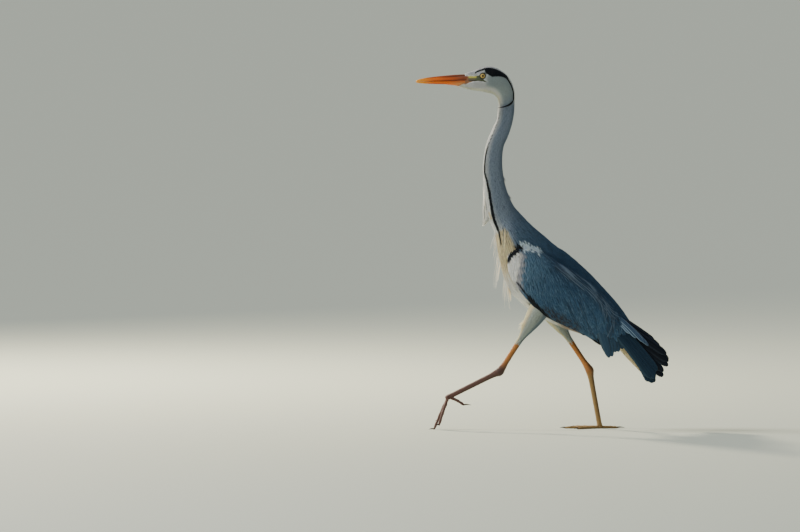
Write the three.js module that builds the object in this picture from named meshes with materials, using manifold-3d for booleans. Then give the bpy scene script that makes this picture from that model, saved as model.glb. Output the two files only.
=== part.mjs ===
// A life-size grey heron in mid stride, as a still model, in millimetres.
// +X is the way the bird faces, +Y its left side, +Z up. The origin is on the floor, under the bird's middle.
import * as THREE from "three";
import { mergeVertices } from "three/addons/utils/BufferGeometryUtils.js";
import Module from "manifold-3d";

const wasm = await Module();
wasm.setup();

// Driving dimensions.
const GAP = 0.35; // clear space between two neighbouring pieces
const BILL = 118; // from the forehead feathers to the tip
const TIBIA = 207; // knee to ankle
const TARSUS = 140; // ankle to the root of the toes
const FEATHERED = 0.53; // share of the tibia that the thigh feathers cover
const TOE = { inner: 64, middle: 84, outer: 71, hind: 42 };
const CLAW = { inner: 11, middle: 13, outer: 11, hind: 18 };
const TOE_RADIUS = 3.6;
const TOE_ARCH = 2.5; // how far a toe's middle rises above a straight line
const FIRST_JOINT = 0.3; // share of a toe before its first joint
const CLAW_RADIUS = { root: 2.1, tip: 0.45 };
const CLAW_ARCH = 1.2;
const CLAW_ROOT = 1.5; // how far a claw reaches back into its toe
const CREST_LIFT = 1.3; // from the head's skin to the middle of a crest plume
const SPACE = 1500; // a span larger than the bird
const LEFT = new THREE.Vector3(0, 1, 0);
const UP = new THREE.Vector3(0, 0, 1);
const degrees = THREE.MathUtils.degToRad;
const { clamp, lerp } = THREE.MathUtils;

// Stations from the root of the bill to the rump. Each gives a section's middle in the plane of symmetry,
// its half depth in that plane and its half width across it, out to the tips of the feathers.
const HEAD = [
  { x: 193, z: 838.5, depth: 15, width: 10.5 },
  { x: 180, z: 839.5, depth: 20.5, width: 13.5 },
  { x: 162, z: 841, depth: 25, width: 17 },
  { x: 145, z: 842.7, depth: 29.3, width: 19 },
  { x: 128, z: 842.6, depth: 32, width: 20 },
  { x: 105.5, z: 832, depth: 28.8, width: 19.5 },
  { x: 91.3, z: 812, depth: 23.8, width: 18 },
];
const NECK = [
  { x: 87.2, z: 789, depth: 19.4, width: 16.3 },
  { x: 88.3, z: 766, depth: 19.6, width: 15.6 },
  { x: 92.6, z: 740, depth: 19.2, width: 15.6 },
  { x: 102, z: 716, depth: 20.8, width: 16 },
  { x: 114, z: 687, depth: 20.8, width: 16.2 },
  { x: 120.2, z: 647, depth: 22.6, width: 16.6 },
  { x: 118.2, z: 602, depth: 24.8, width: 17.6 },
  { x: 111.8, z: 563, depth: 28.5, width: 20.5 },
];
const TRUNK = [
  { x: 98.5, z: 521, depth: 34.2, width: 25.5 },
  { x: 75.4, z: 483, depth: 41.8, width: 33 },
  { x: 46.5, z: 431.5, depth: 62, width: 44 },
  { x: 13.2, z: 380.8, depth: 79, width: 50 },
  { x: -32.5, z: 342, depth: 79.8, width: 51 },
  { x: -79.6, z: 309.3, depth: 72, width: 46 },
  { x: -130.3, z: 275.4, depth: 57, width: 36 },
  { x: -174.5, z: 241, depth: 43, width: 25 },
  { x: -212, z: 216.5, depth: 25, width: 16 },
  { x: -229, z: 207, depth: 9, width: 7 },
];
// Where thin saw cuts part the body into its named lengths, as stations along it.
const BODY_CUTS = [6.5, 9.6, 12.4, 15.2];
const BODY_EGG = 0.1; // how much narrower the back is than the belly

// The two halves of the bill meet along its gape, a line from the root to the tip. Each section gives how far
// the culmen lies above that line, how far the keel lies below it, and the half width.
const GAPE = { x: 187, z: 842.6, drop: 5 };
const BILL_SECTIONS = [
  { at: -0.06, upper: 13, lower: 18.2, width: 11 },
  { at: 0.06, upper: 13.2, lower: 16.6, width: 10.6 },
  { at: 0.22, upper: 13, lower: 12.4, width: 9.2 },
  { at: 0.42, upper: 11.9, lower: 8.8, width: 7.2 },
  { at: 0.6, upper: 10.7, lower: 7.4, width: 5.8 },
  { at: 0.78, upper: 8.9, lower: 5.8, width: 4.4 },
  { at: 0.91, upper: 6.5, lower: 3.9, width: 3.2 },
  { at: 1, upper: 3, lower: 1.6, width: 1.5 },
];
const EYE = { x: 144.5, y: 12.9, z: 852.5, radius: 6.6 };

// The folded wing, from the wrist back to the tips of its coverts. Here y is how far out its middle lies.
const WING = [
  { x: 73, z: 433, y: 33, depth: 14, width: 7 },
  { x: 62, z: 420, y: 37, depth: 30, width: 13 },
  { x: 44, z: 401, y: 40, depth: 46, width: 17 },
  { x: 12, z: 371, y: 44, depth: 56, width: 21 },
  { x: -32.5, z: 334.5, y: 46, depth: 63, width: 22 },
  { x: -82, z: 304, y: 42, depth: 60, width: 22 },
  { x: -127.5, z: 272, y: 35, depth: 51, width: 19 },
  { x: -163, z: 238, y: 27, depth: 42, width: 15 },
  { x: -186, z: 212, y: 21, depth: 30, width: 10 },
  { x: -200, z: 192, y: 18, depth: 13, width: 5 },
];
const TERTIALS = [
  { x: -122, z: 268, y: 45, depth: 20, width: 7 },
  { x: -143, z: 236, y: 40, depth: 21, width: 6 },
  { x: -159.5, z: 211, y: 34, depth: 17, width: 4.5 },
  { x: -164.7, z: 194, y: 30, depth: 10.5, width: 3 },
  { x: -162.5, z: 181, y: 28, depth: 6.3, width: 2 },
  { x: -161.5, z: 171.5, y: 27, depth: 1.2, width: 1 },
];
// Blades of the folded wing tip, from its upper edge to its lower one, and of one side of the tail, from its
// middle feathers outwards. Roll leans a blade's upper edge towards the plane of symmetry.
const PRIMARIES = [
  { root: { x: -146, y: 21, z: 290 }, tip: { x: -270, y: 6, z: 213 }, depth: 11.5, roll: 20 },
  { root: { x: -141, y: 21, z: 281 }, tip: { x: -303, y: 8, z: 165 }, depth: 14, roll: 16 },
  { root: { x: -137, y: 21, z: 272 }, tip: { x: -301, y: 7.5, z: 153 }, depth: 15, roll: 10 },
  { root: { x: -136, y: 21, z: 262 }, tip: { x: -289, y: 8, z: 127 }, depth: 15, roll: 6 },
];
const RECTRICES = [
  { root: { x: -186, y: 2, z: 243 }, tip: { x: -273, y: 3, z: 116 }, depth: 10, roll: 72 },
  { root: { x: -186, y: 5, z: 237 }, tip: { x: -266, y: 11, z: 112 }, depth: 11, roll: 46 },
  { root: { x: -190, y: 7, z: 230 }, tip: { x: -258, y: 16, z: 117 }, depth: 8, roll: 24 },
];
// The soft coverts under the root of the tail.
const UNDERTAIL = [
  { x: -188, z: 222, depth: 10, width: 11 },
  { x: -199, z: 204, depth: 11, width: 13 },
  { x: -211, z: 187, depth: 10, width: 13 },
  { x: -224, z: 168, depth: 7, width: 11 },
  { x: -236, z: 147, depth: 2.5, width: 6 },
];
const BLADE = { wing: 2.6, tail: 2.2 }; // half the thickness of a stack of vanes at its root

// Legs. Pitch is measured from straight down, positive forwards.
const LEGS = {
  left: { side: 1, knee: [-8, 316], spread: 36, tibia: 32.2, tarsus: 63.4 },
  right: { side: -1, knee: [1, 314], spread: 36, tibia: -33.6, tarsus: -10.4 },
};
// Height of the middle of each toe's tip. The left foot is just coming down, on its middle toe.
const TIP_HEIGHT = {
  left: { middle: 1.2, outer: 12, inner: 20, hind: 60 },
  right: { middle: 2, outer: 2, inner: 2, hind: 2 },
};
// Half depth and half width along the leg: share of the tibia, then share of the tarsus plus 1.
const LEG_SECTIONS = [
  { at: 0, depth: 23, width: 17 },
  { at: 0.16, depth: 24, width: 17 },
  { at: 0.3, depth: 20, width: 14.5 },
  { at: 0.42, depth: 14, width: 10.5 },
  { at: 0.53, depth: 8, width: 6.6 },
  { at: 0.64, depth: 6.7, width: 5.2 },
  { at: 0.85, depth: 6.5, width: 5.2 },
  { at: 0.95, depth: 8.4, width: 7 },
  { at: 1.01, depth: 10.2, width: 8.2 },
  { at: 1.08, depth: 8.4, width: 6.4 },
  { at: 1.2, depth: 6.6, width: 5 },
  { at: 1.55, depth: 6.1, width: 4.6 },
  { at: 1.88, depth: 6, width: 5 },
  { at: 2, depth: 6.8, width: 7 },
];
const FOOT_SPREAD = 23; // how far each foot lies out from the plane of symmetry
const TARSUS_LEAN = 3; // how much further out the ankle lies than the foot
const ANKLE_CUT = 6; // from the ankle to the saw cut above it
const PAD = { long: 9.5, wide: 8.5, high: 6.5 };
const FANNED = { inner: 33, middle: 3, outer: -31, hind: 186 }; // each toe's plan angle, inwards

// A closed geometry with its seams merged and its faces pointing out, as a solid.
function solidOf(geometry) {
  geometry.deleteAttribute("normal");
  geometry.deleteAttribute("uv");
  const merged = mergeVertices(geometry, 1e-3);
  const corners = Uint32Array.from(merged.index.array);
  const places = Float32Array.from(merged.attributes.position.array);
  if (signedVolume(places, corners) < 0) {
    for (let i = 0; i < corners.length; i += 3) {
      [corners[i + 1], corners[i + 2]] = [corners[i + 2], corners[i + 1]];
    }
  }
  const mesh = new wasm.Mesh({ numProp: 3, vertProperties: places, triVerts: corners });
  return new wasm.Manifold(mesh);
}

function signedVolume(places, corners) {
  const corner = (i) => new THREE.Vector3().fromArray(places, 3 * corners[i]);
  let sum = 0;
  for (let i = 0; i < corners.length; i += 3) {
    sum += corner(i).dot(corner(i + 1).cross(corner(i + 2)));
  }
  return sum / 6;
}

// The largest piece of a solid, so that no sliver is left beside it.
function largest(solid) {
  return solid.decompose().reduce((a, b) => (b.volume() > a.volume() ? b : a));
}

// Smooth curves through stations: their middles, and their half depths and half widths.
function curvesOf(stations, side = 1) {
  const middles = stations.map((s) => new THREE.Vector3(s.x, side * (s.y ?? 0), s.z));
  const halves = stations.map((s) => new THREE.Vector3(s.depth, s.width, 0));
  return {
    middle: new THREE.CatmullRomCurve3(middles),
    half: new THREE.CatmullRomCurve3(halves),
  };
}

// The section frame at share u of a swept body: its middle, its axes and its half sizes.
function sectionAt({ middle, half }, u, across = LEFT) {
  const along = middle.getTangent(u);
  const top = across.clone().cross(along).normalize();
  const out = along.clone().cross(top).normalize();
  const size = half.getPoint(u);
  return { centre: middle.getPoint(u), top, out, depth: size.x, width: size.y };
}

// A point on a section. Turn 0 is its top, a quarter turn its left; egg narrows the top and widens the foot.
function onSection(section, turn, { grow = 0, egg = 0, roll = 0 } = {}) {
  const rise = (section.depth + grow) * Math.cos(turn);
  const reach = (section.width + grow) * Math.sin(turn) * (1 - egg * Math.cos(turn));
  const [c, s] = [Math.cos(roll), Math.sin(roll)];
  return section.centre
    .clone()
    .addScaledVector(section.top, rise * c - reach * s)
    .addScaledVector(section.out, rise * s + reach * c);
}

// A closed body swept through stations. A sphere's rows of vertices become its sections.
function sweep(stations, options = {}) {
  const { sides = 14, rings = 20, across = LEFT, side = 1 } = options;
  const curves = curvesOf(stations, side);
  const geometry = new THREE.SphereGeometry(1, sides, rings);
  for (let row = 0; row <= rings; row++) {
    const section = sectionAt(curves, clamp((row - 1) / (rings - 2), 0, 1), across);
    const atPole = row === 0 || row === rings;
    for (let column = 0; column <= sides; column++) {
      const turn = (column / sides) * 2 * Math.PI;
      const p = atPole ? section.centre : onSection(section, turn, options);
      geometry.attributes.position.setXYZ(row * (sides + 1) + column, p.x, p.y, p.z);
    }
  }
  return solidOf(geometry);
}

// The solid without a neighbour that was grown by the gap.
function clearOf(solid, ...neighbours) {
  return neighbours.reduce((left, neighbour) => left.subtract(neighbour), solid);
}

// A thin square blade to saw with, across a direction.
function saw(centre, along, size) {
  const blade = new THREE.BoxGeometry(size, size, GAP);
  blade.applyQuaternion(new THREE.Quaternion().setFromUnitVectors(UP, along));
  return solidOf(blade.translate(centre.x, centre.y, centre.z));
}

// Everything above the floor.
const aboveFloor = solidOf(new THREE.BoxGeometry(SPACE, SPACE, SPACE).translate(0, 0, SPACE / 2));

// Body: one sweep from the bill's root to the rump, sawn into head, neck and trunk.
const BODY = [...HEAD, ...NECK, ...TRUNK];
const bodyCurves = curvesOf(BODY);
const body = (grow = 0) => sweep(BODY, { sides: 16, rings: 46, egg: BODY_EGG, grow });
const bodyGrown = body(GAP);

function bodyPieces() {
  const blades = BODY_CUTS.map((station) => {
    const cut = sectionAt(bodyCurves, station / (BODY.length - 1));
    return saw(cut.centre, cut.top.clone().cross(cut.out), 3 * cut.depth);
  });
  const sockets = [1, -1].map((side) => eye(side, GAP));
  const cut = clearOf(body(), ...blades, ...sockets);
  const height = (piece) => piece.boundingBox().max[2];
  return cut.decompose().sort((a, b) => height(b) - height(a));
}

function eye(side, grow = 0) {
  const ball = new THREE.SphereGeometry(EYE.radius + grow, 10, 8);
  return solidOf(ball.translate(EYE.x, side * EYE.y, EYE.z));
}

// One half of the bill, from inside the face to the tip, fuller towards the gape than towards its ridge.
function mandible(half) {
  const up = half === "upper" ? 1 : -1;
  const stations = BILL_SECTIONS.map((section) => ({
    x: GAPE.x + BILL * section.at,
    z: GAPE.z - GAPE.drop * section.at + (up * (section[half] + GAP)) / 2,
    depth: section[half] / 2,
    width: section.width,
  }));
  return sweep(stations, { sides: 10, rings: 10, egg: -0.3 * up });
}

// A crest plume lies on its side of the nape. The left one then curls forward round the neck, and the right
// one hangs behind it. Each row gives a station of the body, how many degrees round from the nape the plume
// lies there, and the plume's radius.
const CREST_PLUMES = {
  left: [
    [4.6, 34, 1.2], [5.1, 36, 1.4], [5.7, 35, 1.5], [6.3, 34, 1.6], [6.8, 36, 1.9], [7.1, 52, 1.8],
    [7.35, 82, 1.4], [7.55, 116, 1], [7.7, 148, 0.5],
  ],
  right: [
    [4.6, -34, 1.2], [5.2, -36, 1.4], [5.9, -34, 1.5], [6.6, -30, 1.6], [7.3, -28, 1.6], [7.9, -30, 1.4],
    [8.4, -34, 1.2], [8.9, -40, 0.8], [9.3, -46, 0.5],
  ],
};

function crest(rows) {
  const stations = rows.map(([station, turn, radius]) => {
    const section = sectionAt(bodyCurves, station / (BODY.length - 1));
    const { x, y, z } = onSection(section, degrees(turn), { grow: CREST_LIFT, egg: BODY_EGG });
    return { x, y, z, depth: radius, width: radius };
  });
  const skew = new THREE.Vector3(0.4, 1, 0.2).normalize(); // a direction that neither plume runs along
  return sweep(stations, { sides: 4, rings: 11, across: skew });
}

// Plumes that hang in front of the foreneck and the breast.
const FORENECK_PLUME = [
  { x: 136, z: 590, depth: 3, width: 6 },
  { x: 136.5, z: 565, depth: 5, width: 7 },
  { x: 137, z: 535, depth: 5.5, width: 6 },
  { x: 138.5, z: 512, depth: 4.5, width: 5 },
  { x: 142, z: 497, depth: 3, width: 3 },
  { x: 144.5, z: 489, depth: 0.8, width: 0.9 },
];
const BREAST_PLUMES = [
  { x: 117, z: 511, depth: 5, width: 12 },
  { x: 109.5, z: 485, depth: 7.2, width: 17 },
  { x: 99.4, z: 450, depth: 9, width: 18 },
  { x: 93.6, z: 415, depth: 9, width: 16 },
  { x: 88.5, z: 380, depth: 6.6, width: 11 },
  { x: 83.5, z: 347, depth: 4, width: 6 },
  { x: 77, z: 304, depth: 1, width: 1 },
];

// Wing: coverts and drooping tertials, hugging the trunk, on its own side of the plane of symmetry.
const halfOf = (side) =>
  solidOf(new THREE.BoxGeometry(SPACE, SPACE, SPACE).translate(0, (side * (SPACE + GAP)) / 2, SPACE / 2));

function wing(side, grow = 0) {
  const coverts = sweep(WING, { sides: 12, rings: 15, side, grow });
  const tertials = sweep(TERTIALS, { sides: 7, rings: 6, side, grow });
  return coverts.add(tertials);
}

// A flat stack of vanes from its root to a rounded tip.
function blade({ root, tip, depth, roll }, side, grow, thickness) {
  const outline = [[0, 0.6], [0.35, 0.9], [0.7, 1], [0.9, 0.82], [0.98, 0.45], [1, 0.15]];
  const stations = outline.map(([at, breadth]) => ({
    x: lerp(root.x, tip.x, at),
    y: lerp(root.y, tip.y, at),
    z: lerp(root.z, tip.z, at),
    depth: depth * breadth,
    width: thickness * lerp(1, 0.4, at),
  }));
  return sweep(stations, { sides: 6, rings: 6, side, grow, roll: -side * degrees(roll) });
}

const joined = (solids) => solids.reduce((all, next) => all.add(next));

const primaries = (side, grow = 0) => joined(PRIMARIES.map((each) => blade(each, side, grow, BLADE.wing)));

const tail = (grow = 0) =>
  joined([
    sweep(UNDERTAIL, { sides: 6, rings: 5, grow }),
    ...[1, -1].flatMap((side) => RECTRICES.map((each) => blade(each, side, grow, BLADE.tail))),
  ]);

// A leg's line from knee to ankle to the root of the toes.
function legLine({ side, knee, spread, tibia, tarsus }) {
  const start = new THREE.Vector3(knee[0], side * spread, knee[1]);
  const swing = (pitch, length, inwards) =>
    new THREE.Vector3(length * Math.sin(pitch), -side * inwards, -length * Math.cos(pitch));
  const ankle = start.clone().add(swing(degrees(tibia), TIBIA, spread - FOOT_SPREAD - TARSUS_LEAN));
  const foot = ankle.clone().add(swing(degrees(tarsus), TARSUS, TARSUS_LEAN));
  return { start, ankle, foot };
}

function legSolid(leg, grow = 0) {
  const { start, ankle, foot } = legLine(leg);
  const stations = LEG_SECTIONS.map(({ at, depth, width }) => {
    const p = at < 1 ? start.clone().lerp(ankle, at) : ankle.clone().lerp(foot, at - 1);
    return { x: p.x, y: p.y, z: p.z, depth, width };
  });
  const pad = new THREE.SphereGeometry(1, 8, 6).scale(PAD.long + grow, PAD.wide + grow, PAD.high + grow);
  const sole = solidOf(pad.translate(foot.x, foot.y, foot.z));
  return sweep(stations, { sides: 8, rings: 20, grow }).add(sole);
}

function legPieces(leg, neighbours) {
  const { start, ankle, foot } = legLine(leg);
  const featherEnd = start.clone().lerp(ankle, FEATHERED);
  const down = ankle.clone().sub(start).normalize();
  const heel = foot.clone().sub(ankle).normalize();
  const aboveAnkle = ankle.clone().addScaledVector(heel, -ANKLE_CUT);
  const size = 2 * LEG_SECTIONS[0].depth;
  const blades = [saw(featherEnd, down, size), saw(aboveAnkle, down, size)];
  const outside = largest(clearOf(legSolid(leg), ...neighbours)).intersect(aboveFloor);
  const height = (piece) => piece.boundingBox().max[2];
  return clearOf(outside, ...blades)
    .decompose()
    .sort((a, b) => height(b) - height(a));
}

// A toe's middle line, from the root of the toes to its tip.
function toeLine(leg, toe) {
  const { foot } = legLine(leg);
  const heading = -leg.side * degrees(FANNED[toe]);
  const across = new THREE.Vector3(-Math.sin(heading), Math.cos(heading), 0);
  const ahead = new THREE.Vector3(Math.cos(heading), Math.sin(heading), 0);
  const drop = foot.z - leg.tips[toe];
  const reach = Math.sqrt(TOE[toe] ** 2 - drop ** 2);
  const tip = foot.clone().addScaledVector(ahead, reach);
  tip.z = leg.tips[toe];
  return { foot, tip, across, ahead, settled: drop < PAD.high };
}

// Each toe tapers and arches slightly. On a settled foot it lies along the floor from its first joint on.
function toeSolid(leg, toe, grow = 0) {
  const { foot, tip, across, settled } = toeLine(leg, toe);
  const joints = [[0, 1.25], [FIRST_JOINT, 1.02], [0.6, 1], [0.86, 0.92], [1, 0.62]];
  const stations = joints.map(([at, thickness]) => {
    const p = foot.clone().lerp(tip, at);
    p.z = lerp(foot.z, tip.z, settled ? Math.min(at / FIRST_JOINT, 1) : at);
    p.z += TOE_ARCH * Math.sin(Math.PI * at) * (settled ? 0.3 : 1);
    const radius = TOE_RADIUS * thickness;
    return { x: p.x, y: p.y, z: p.z, depth: radius, width: radius * 1.05 };
  });
  return sweep(stations, { sides: 6, rings: 7, across, grow });
}

function clawSolid(leg, toe) {
  const { tip, across, ahead } = toeLine(leg, toe);
  const stations = [0, 0.35, 0.7, 1].map((at) => {
    const p = tip.clone().addScaledVector(ahead, lerp(-CLAW_ROOT, CLAW[toe], at));
    const radius = lerp(CLAW_RADIUS.root, CLAW_RADIUS.tip, at);
    p.z += CLAW_ARCH * (Math.sin(Math.PI * at) - at / 2);
    return { x: p.x, y: p.y, z: p.z, depth: radius, width: radius * 0.85 };
  });
  return sweep(stations, { sides: 5, rings: 5, across });
}

// Colours, one finish for each kind of surface.
const finishes = {
  plumage: { color: 0x6f7b86, roughness: 0.85 },
  face: { color: 0xd8dcda, roughness: 0.85 },
  neck: { color: 0xb3aeae, roughness: 0.85 },
  plumes: { color: 0xe6dcc0, roughness: 0.8 },
  crest: { color: 0x15181d, roughness: 0.6 },
  quills: { color: 0x23282f, roughness: 0.6 },
  thigh: { color: 0xc4c4bb, roughness: 0.85 },
  horn: { color: 0xcc6a26, roughness: 0.4 },
  leg: { color: 0xa8743a, roughness: 0.55 },
  claw: { color: 0x2c2622, roughness: 0.45 },
  eye: { color: 0xd9b64a, roughness: 0.08 },
};

const heron = new THREE.Group();

// Adds a solid to the model as a named mesh of its own finish.
function add(name, finish, solid) {
  const { vertProperties, triVerts } = solid.getMesh();
  const geometry = new THREE.BufferGeometry();
  geometry.setAttribute("position", new THREE.BufferAttribute(vertProperties, 3));
  geometry.setIndex(new THREE.BufferAttribute(triVerts, 1));
  geometry.computeVertexNormals();
  const mesh = new THREE.Mesh(geometry, new THREE.MeshStandardMaterial(finishes[finish]));
  mesh.name = name;
  heron.add(mesh);
}

const [head, neckUpper, neckMiddle, neckLower, trunk] = bodyPieces();
add("head", "face", head);
add("neck_upper", "neck", neckUpper);
add("neck_middle", "neck", neckMiddle);
add("neck_lower", "neck", neckLower);
add("trunk", "plumage", trunk);
for (const half of ["upper", "lower"]) {
  add(`bill_${half}`, "horn", largest(clearOf(mandible(half), bodyGrown)));
}
const foreneckPlume = (grow = 0) => sweep(FORENECK_PLUME, { sides: 7, rings: 8, grow });
const breastPlumes = sweep(BREAST_PLUMES, { sides: 7, rings: 9 });
add("foreneck_plume", "plumes", largest(clearOf(foreneckPlume(), bodyGrown)));
add("breast_plumes", "plumes", largest(clearOf(breastPlumes, bodyGrown, foreneckPlume(GAP))));
add("tail", "quills", largest(clearOf(tail(), bodyGrown, wing(1, GAP), wing(-1, GAP))));

for (const [name, shape] of Object.entries(LEGS)) {
  const leg = { ...shape, tips: TIP_HEIGHT[name] };
  const { side } = leg;
  add(`eye_${name}`, "eye", eye(side));
  add(`crest_plume_${name}`, "crest", largest(clearOf(crest(CREST_PLUMES[name]), bodyGrown)));
  const wingGrown = wing(side, GAP);
  add(`wing_${name}`, "plumage", largest(clearOf(wing(side), bodyGrown).intersect(halfOf(side))));
  const wingTip = clearOf(primaries(side), bodyGrown, wingGrown, tail(GAP)).intersect(halfOf(side));
  add(`primaries_${name}`, "quills", largest(wingTip));
  const [thigh, shank, tarsus] = legPieces(leg, [bodyGrown, wingGrown]);
  add(`thigh_${name}`, "thigh", thigh);
  add(`shank_${name}`, "leg", shank);
  add(`tarsus_${name}`, "leg", tarsus);
  const made = [legSolid(leg, GAP)];
  for (const toe of Object.keys(TOE)) {
    add(`toe_${toe}_${name}`, "leg", largest(clearOf(toeSolid(leg, toe), ...made).intersect(aboveFloor)));
    made.push(toeSolid(leg, toe, GAP));
  }
  for (const toe of Object.keys(CLAW)) {
    const claw = clearOf(clawSolid(leg, toe), ...made).intersect(aboveFloor);
    add(`claw_${toe}_${name}`, "claw", largest(claw));
  }
}

// Set the origin on the floor under the middle of the bounding box.
const bounds = new THREE.Box3().setFromObject(heron);
const middle = bounds.getCenter(new THREE.Vector3());
heron.position.set(-middle.x, -middle.y, -bounds.min.z);

export default heron;
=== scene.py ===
import math
import bpy
import bmesh
import numpy as np
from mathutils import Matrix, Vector
from mathutils.kdtree import KDTree


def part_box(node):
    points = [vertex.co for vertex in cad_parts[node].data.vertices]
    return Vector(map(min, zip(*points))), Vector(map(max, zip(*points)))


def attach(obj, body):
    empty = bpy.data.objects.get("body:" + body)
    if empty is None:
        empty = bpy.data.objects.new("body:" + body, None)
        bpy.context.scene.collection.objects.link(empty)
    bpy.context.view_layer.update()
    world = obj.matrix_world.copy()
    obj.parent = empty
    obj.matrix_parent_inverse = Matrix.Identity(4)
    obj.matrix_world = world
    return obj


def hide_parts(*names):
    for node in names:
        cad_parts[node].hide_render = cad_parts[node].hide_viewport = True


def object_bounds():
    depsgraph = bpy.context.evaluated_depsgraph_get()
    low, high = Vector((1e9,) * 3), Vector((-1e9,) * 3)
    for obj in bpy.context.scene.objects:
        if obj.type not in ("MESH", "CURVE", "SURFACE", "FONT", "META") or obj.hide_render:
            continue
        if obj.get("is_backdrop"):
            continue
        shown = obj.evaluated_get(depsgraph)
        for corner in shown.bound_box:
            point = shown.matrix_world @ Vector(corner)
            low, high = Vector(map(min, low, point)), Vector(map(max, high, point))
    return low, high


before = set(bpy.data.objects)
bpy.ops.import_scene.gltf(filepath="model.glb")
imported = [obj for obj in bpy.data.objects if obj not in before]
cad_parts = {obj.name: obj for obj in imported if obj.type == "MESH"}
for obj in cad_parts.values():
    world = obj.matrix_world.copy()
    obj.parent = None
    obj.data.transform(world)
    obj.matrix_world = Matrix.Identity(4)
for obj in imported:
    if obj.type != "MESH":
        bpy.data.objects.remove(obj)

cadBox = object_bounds()
mm = 0.001
dice = np.random.default_rng(11)
left = np.array([0.0, 1.0, 0.0])
sideOf = {"left": 1, "right": -1}

# the solids were moved to stand on their own middle; the eye tells by how much
eyePlace = {"x": 144.5, "y": 12.9, "z": 852.5, "radius": 6.6}
eyeLow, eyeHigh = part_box("eye_left")
shift = np.array((eyeLow + eyeHigh) / 2) - np.array([eyePlace["x"], eyePlace["y"], eyePlace["z"]]) * mm


def place(x, y, z):
    return np.array([x, y, z]) * mm + shift


# small number helpers, all on arrays
def ramp(value, low, high):
    share = np.clip((value - low) / (high - low), 0, 1)
    return share * share * (3 - 2 * share)


def hump(value, middle, spread):
    return np.exp(-((value - middle) / spread) ** 2)


def lineAt(stations, values, s):
    return np.interp(s, stations, values)


def unit(vectors):
    return vectors / np.maximum(np.linalg.norm(vectors, axis=-1, keepdims=True), 1e-12)


# x and z in mm, as the side view shows them
def sideView(point):
    return (point[..., 0] - shift[0]) / mm, (point[..., 2] - shift[2]) / mm


# side-view distance from the eye, in mm
def fromEye(point):
    x, z = sideView(point)
    return np.hypot(x - eyePlace["x"], z - eyePlace["z"])


# how much a place in side view lies within a radius of a line, all in mm
def nearLine(x, z, start, end, radius, soft=2.0):
    (x0, z0), (x1, z1) = start, end
    share = ((x - x0) * (x1 - x0) + (z - z0) * (z1 - z0)) / ((x1 - x0) ** 2 + (z1 - z0) ** 2)
    share = np.clip(share, 0, 1)
    away = np.hypot(x - x0 - share * (x1 - x0), z - z0 - share * (z1 - z0))
    return ramp(radius - away, -soft / 2, soft / 2)


def nearLines(x, z, *lines):
    return np.maximum.reduce([nearLine(x, z, *line) for line in lines])


def addObject(name, data):
    piece = bpy.data.objects.new(name, data)
    bpy.context.scene.collection.objects.link(piece)
    return piece


# camera and light
viewSet = {"lens": 600, "sensor": 36, "width": 1.928, "tilt": 3.0, "aimX": 343, "aimZ": 393.5}
lightSet = {
    "key": {"at": (1.4, 4.0, 2.6), "size": 3.2, "watts": 36, "colour": (0.9, 0.95, 1.0)},
    "fill": {"at": (3.4, 1.8, 1.5), "size": 2.0, "watts": 26, "colour": (1.0, 0.95, 0.84)},
    "rim": {"at": (2.1, -2.6, 2.2), "size": 0.5, "watts": 260, "colour": (1.0, 0.88, 0.66)},
}
sunSet = {"azimuth": -8, "height": 38, "watts": 3.4, "angle": 16, "colour": (1.0, 0.95, 0.87)}
skySet = {"colour": (0.74, 0.86, 1.0, 1), "strength": 0.3, "aim": (0, 0, 0.45)}
floorSet = {"radius": 60, "sides": 96, "colour": (0.5, 0.54, 0.46, 1), "roughness": 0.8}


def makeCamera():
    data = bpy.data.cameras.new("camera")
    data.sensor_width = viewSet["sensor"]
    data.lens = viewSet["lens"]
    data.clip_start, data.clip_end = 0.1, 300
    distance = viewSet["width"] * viewSet["lens"] / viewSet["sensor"]
    tilt = math.radians(viewSet["tilt"])
    camera = addObject("camera", data)
    camera.location = (viewSet["aimX"] * mm, distance * math.cos(tilt),
                       viewSet["aimZ"] * mm + distance * math.sin(tilt))
    camera.rotation_euler = (math.radians(90) - tilt, 0, math.radians(180))
    bpy.context.scene.camera = camera


def addLamp(name, kind, at, towards):
    data = bpy.data.lights.new(name, kind)
    lamp = addObject(name, data)
    lamp.location = at
    lamp.rotation_euler = towards.to_track_quat("-Z", "Y").to_euler()
    return data


def makeLights():
    for name, kind in lightSet.items():
        data = addLamp(name, "AREA", kind["at"], Vector(skySet["aim"]) - Vector(kind["at"]))
        data.shape, data.size = "DISK", kind["size"]
        data.energy, data.color = kind["watts"], kind["colour"]
    height, azimuth = math.radians(sunSet["height"]), math.radians(sunSet["azimuth"])
    sunward = (math.cos(height) * math.cos(azimuth), math.cos(height) * math.sin(azimuth), math.sin(height))
    data = addLamp("soft sun", "SUN", (0, 0, 0), -Vector(sunward))
    data.energy, data.color, data.angle = sunSet["watts"], sunSet["colour"], math.radians(sunSet["angle"])
    world = bpy.data.worlds.new("studio")
    bpy.context.scene.world = world
    world.use_nodes = True
    background = world.node_tree.nodes["Background"]
    background.inputs["Color"].default_value = skySet["colour"]
    background.inputs["Strength"].default_value = skySet["strength"]


# materials
def newMaterial(name, roughness, **values):
    material = bpy.data.materials.new(name)
    material.use_nodes = True
    shader = material.node_tree.nodes["Principled BSDF"]
    shader.inputs["Roughness"].default_value = roughness
    for socket, value in values.items():
        shader.inputs[socket.replace("_", " ")].default_value = value
    return material, material.node_tree, shader


def addNode(tree, kind, **settings):
    node = tree.nodes.new(kind)
    for key, value in settings.items():
        if key in node.inputs:
            node.inputs[key].default_value = value
        else:
            setattr(node, key, value)
    return node


# a node's first inputs, from sockets or numbers
def feed(tree, node, *values):
    for socket, value in zip(node.inputs, values):
        if hasattr(value, "links"):
            tree.links.new(value, socket)
        else:
            socket.default_value = value
    return node


def maths(tree, operation, *values):
    return feed(tree, addNode(tree, "ShaderNodeMath", operation=operation), *values).outputs[0]


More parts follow.
